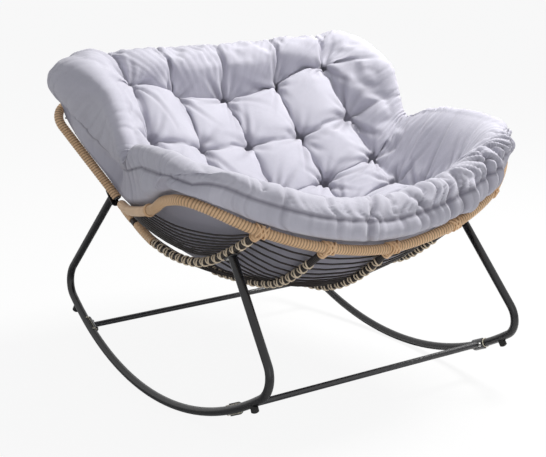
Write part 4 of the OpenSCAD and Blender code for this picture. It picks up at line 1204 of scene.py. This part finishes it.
def ridges(x, longest, shortest, seed):
    """Sharp crests with round valleys, from 0 to 1."""
    return np.clip(1 - np.abs(waves(x, longest, shortest, seed)) * 1.6, 0, 1)


def groove(x, width):
    """A smooth dent round x = 0."""
    return np.exp(-((x / width) ** 2))


print("a wave:", waves(np.array([0.0, 10.0, 20.0]), 40, 15, 3).round(2))

# %% [markdown]
# Thread pulls the cloth into pleats that run out from each tuft like the spokes of a wheel. Each spoke
# has its own direction, length, depth and curl, picked at random from a fixed seed, so that no two
# tufts look the same and every run gives the same cushion.

# %% Pleats at the tufts
tuft_gap_i, tuft_gap_j = 165, 130
tuft_deep, tuft_wide, swell_wide, pleat_reach = 8, 10, 34, 130
spokes = 11
for ti in range(-2, 3):
    for tj in range(2, 8):
        dx, dy = (i - ti) * tuft_gap_i, (j - tj) * tuft_gap_j
        far = np.hypot(dx, dy)
        filled_out = 9 if tj > 5 else 2
        from_tuft = far[on_top]
        push[on_top] += filled_out * groove(from_tuft, swell_wide) - tuft_deep * groove(from_tuft, tuft_wide)
        close = np.where(on_top & (far < pleat_reach))[0]
        pick = np.random.default_rng(10 * ti + tj + 40)
        for k in range(spokes):
            way = 2 * math.pi * (k + 0.8 * (pick.random() - 0.5)) / spokes
            length = 34 + 60 * pick.random() ** 2
            deep = 4 + 6 * pick.random()
            curl = 0.005 * (pick.random() - 0.5)
            ahead = dx[close] * math.cos(way) + dy[close] * math.sin(way)
            aside = dy[close] * math.cos(way) - dx[close] * math.sin(way) + curl * ahead**2
            strength = np.clip(ahead / 14, 0, 1) * groove(np.maximum(ahead, 0), length)
            crease = strength * groove(aside, 4 + 0.04 * ahead)
            push[close] -= deep * crease
            # Painted shade along the pleat's valley.
            dark[close] += 0.09 * deep * crease
            push[close] += 0.45 * deep * strength * groove(np.abs(aside) - 11, 6)
print("pleats:", push.min().round(1), push.max().round(1))

# %% [markdown]
# Between two tufts the cover is drawn in to a narrow channel. It is deep and straight at the tufts, and
# shallow in the saddle between them, where it wanders a little from the line.

# %% Channels between the pillows
laid_wide, laid_long = 150, 130
near_i, near_j = i - np.round(i), j - np.round(j)
in_back, in_seat = np.clip(j - 4.5, 0, 1), np.clip(5.5 - j, 0, 1)
column_field = (np.abs(i) < 2.6) & (j > 0.4)
row_field = (j > 1.4) & (j < 7.6)
row_reach = np.clip((2.3 + 0.4 * in_back - np.abs(i)) / 0.4, 0, 1)
by_tuft_i = groove(near_j, 0.3)
by_tuft_j = groove(near_i, 0.26)
wander_i = 0.035 * waves(j * laid_long, 200, 70, 31)
wander_j = 0.04 * waves(i * laid_wide, 200, 70, 32)
column_line = groove(near_i + wander_i * (1 - by_tuft_i), 0.03) * (0.55 + 0.45 * by_tuft_i)
row_line = groove(near_j + wander_j * (1 - by_tuft_j), 0.035) * (0.35 + 0.65 * by_tuft_j) * row_reach
column_deep, row_deep = 9 + 4 * in_back, 8 + 3 * in_seat
push += np.where(on_top & column_field, -column_deep * column_line, 0)
push += np.where(on_top & row_field, -row_deep * row_line, 0)
side_channel = (np.abs(i) > 2.1) & (np.abs(i) < 3.8)
push += np.where(on_top & side_channel, -0.5 * groove(near_j, 0.08) * np.clip(3.8 - np.abs(i), 0, 1), 0)
print("channels:", push.min().round(1), push.max().round(1))

# %% [markdown]
# The seam is a little shorter than the cloth, so the rolls gather along it, most of all at the front's
# right half and where the arms meet the back. Gathers run across the seam, so they are waves of one
# coordinate: the distance round the seam in millimetres, from the front's middle to the top's middle,
# negative on the left. Rings inside the seam are shorter, and each is stretched to the seam's length,
# so that the waves turn the corners.

# %% Distance round the seam
from_side = np.clip(4 - np.abs(i), 0, 4)
from_front = np.clip(j, 0, 9)
from_top = np.clip(9 - j, 0, 9)
from_seam = np.minimum(from_side, np.minimum(from_front, from_top))
ring_half, ring_long = 4 - np.minimum(from_seam, 3.9), 9 - 2 * np.minimum(from_seam, 4.4)
on_side = from_side <= np.minimum(from_front, from_top)
front_half, side_long = 4 * laid_wide, 9 * laid_long
ring_end = 2 * front_half + side_long
at_side = front_half + side_long * (j - from_seam) / ring_long
at_front = front_half * np.abs(i) / ring_half
at_top = ring_end - front_half * np.abs(i) / ring_half
arc = np.where(on_side, at_side, np.where(from_front < from_top, at_front, at_top))
round_seam = np.sign(i + 1e-9) * arc
print("round the seam:", round_seam.min().round(), "to", round_seam.max().round(), "mm")

# %% How much each place gathers
gather_knots = (
    (-ring_end, 0.75), (-1800, 0.6), (-1400, 0.2), (-1230, 0.5), (-1080, 0.5), (-900, 0.15), (-500, 0.12),
    (-260, 0.15), (-110, 0.4), (-20, 0.6), (60, 0.9), (200, 1.2), (520, 0.95), (640, 0.3), (900, 0.12),
    (1150, 0.75), (1300, 0.9), (1500, 0.3), (ring_end, 0.75),
)
arc_knots, arc_busy = zip(*gather_knots)
busy = np.interp(round_seam, arc_knots, arc_busy) * (1 - 0.65 * groove(np.hypot(from_side, from_front), 0.6))
uneven = 0.55 + 0.75 * np.abs(waves(round_seam, 420, 170, 26))
arm_calm = 1 - 0.55 * np.clip((np.abs(round_seam) - 560) / 100, 0, 1) * (np.abs(round_seam) < 1500)
fade_down = np.where(on_top, 1, np.clip(1.15 - depth, 0, 1))
drift = 16 * waves(from_seam * 95 + 0.15 * round_seam, 190, 80, 5) - 45 * from_seam * np.sign(i)
print("gathering:", busy.min().round(2), "to", busy.max().round(2))


# %% Gathers along the seam
def pleats(x, longest, shortest, seed):
    """Round crests with sharp valleys, from -1 in a valley to 1."""
    return np.clip(2.2 * np.abs(waves(x, longest, shortest, seed)) ** 0.6 - 1, -1, 1)


gather_layers = ((120, 55, 10.0, 1.1, 6), (56, 30, 6.5, 0.9, 7), (26, 16, 0.9, 0.4, 8))
by_right_waist = 1 + 0.8 * groove(round_seam - 1230, 130)
for longest, shortest, high, reach, seed in gather_layers:
    share = busy * uneven * groove(from_seam, reach * by_right_waist) * fade_down
    share = share * (arm_calm if longest < 100 else 1)
    wave = pleats(round_seam + drift, longest, shortest, seed)
    push += high * share * wave
    # Painted shade in the valleys of the gathers.
    dark += 0.07 * high * share * np.clip(-wave, 0, 1)
print("gathers:", push.min().round(1), push.max().round(1))

# %% [markdown]
# A few deep folds cross the front roll, where the bag is pushed together, and one crosses each waist
# between arm and back. A fold is a narrow groove with a soft swelling on both sides. Large, soft dents
# over the whole cover stand for uneven filling.

# %% Deep folds and soft dents
deep_folds = (
    (-1.7, 0.1, 7), (-0.42, 0.25, 17), (0.45, -0.2, 9), (1.05, 0.15, 11), (1.62, 0.2, 18),
    (2.05, -0.1, 11), (2.5, 0.1, 13), (3.0, 0.1, 11), (3.45, 0.2, 9),
)
fold_down = np.where(on_top, 1, np.clip(1.1 - 0.6 * depth, 0, 1))
for at, lean, deep in deep_folds:
    across = laid_wide * (i - at - lean * from_front)
    fold = np.clip(1.35 - from_front, 0, 1) * fold_down * (from_front < 1.5)
    push -= deep * groove(across, 5) * fold
    push += 0.3 * deep * groove(np.abs(across) - 16, 9) * fold
    # Painted shade in the fold's groove.
    dark += 0.06 * deep * groove(across, 4.5) * fold
waist_at, waist_deep = 1135, 11
waist_down = np.where(on_top, 1, np.clip(1.2 - 0.7 * depth, 0, 1))
waist = groove(np.abs(round_seam) - waist_at, 11) * groove(from_seam, 0.75) * waist_down
push -= waist_deep * waist
# Painted shade in the waist's crease.
dark += 0.45 * waist
flank = groove(np.abs(i) - 2.5, 0.35) * (j > 2) * (j < 7)
push += np.where(on_top, 1.6 * flank * (ridges(laid_long * j + 25 * i, 260, 110, 12) - 0.4), 0)
bent = 30 * waves(j * laid_long, 300, 120, 20)
soft = waves(i * laid_wide + bent, 260, 80, 21) * waves(j * laid_long, 260, 80, 22)
soft_deep = 2.2 - 1.2 * groove(np.abs(i) - 3.2, 0.7) * (j > 5)
push += np.where(depth < 0.99, soft_deep * soft, 0)
print("folds:", push.min().round(1), push.max().round(1))

# %% [markdown]
# The upper seam is pressed in by its thread, and both seams are dark lines of painted shade. Towards the
# lower seam every push fades out, so that the cushion's foot stays where it rests. The painted shade of
# the seams and creases is stored on the mesh, where the cloth's material reads it.

# %% The seam
seam_deep, seam_wide = 3.2, 5
to_seam = np.where(on_top, laid_long * from_seam, band_high * depth)
push -= seam_deep * groove(to_seam, seam_wide)
push = np.where(depth > 0.7, push * np.clip((1 - depth) / 0.3, 0, 1), push)
print("with the seam:", push.min().round(1), push.max().round(1))

# %% Push the points
points = vectors_of(cover_mesh.vertices, "co")
points += 0.001 * push[:, None] * vectors_of(cover_mesh.vertex_normals, "vector")
cover_mesh.vertices.foreach_set("co", points.astype(np.float32).ravel())
cover_mesh.update()
print("cover pushed by", push.min().round(1), "to", push.max().round(1), "mm")

# %% Shade the seams and finish the cover
# Painted shade: dark along both seams and in the channels, pleats and folds, for the cloth's colour.
to_lower_seam = np.where(on_top, 1000, band_high * (1 - depth))
shade = 1.3 * groove(to_seam, 4) + 0.8 * groove(to_lower_seam, 5)
column_shade = np.where(on_top & column_field, 0.5 * column_line, 0)
row_shade = np.where(on_top & row_field, 0.4 * row_line, 0)
shade += np.clip(column_shade + row_shade + dark, 0, 0.6)
painted_crease_shade = cover_mesh.attributes.new("painted_crease_shade", "FLOAT", "POINT")
painted_crease_shade.data.foreach_set("value", np.clip(shade, 0, 1))
cover_mesh.shade_smooth()
cover_mesh.materials.clear()
cover_mesh.materials.append(cushion_cloth)
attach(cushion_cover, "cushion")
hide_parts("cushion")
print("shade:", shade.min().round(2), "to", shade.max().round(2))

# %% Measure and print the sizes
low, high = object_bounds()
print("visual box:", [round(x, 4) for x in high - low])
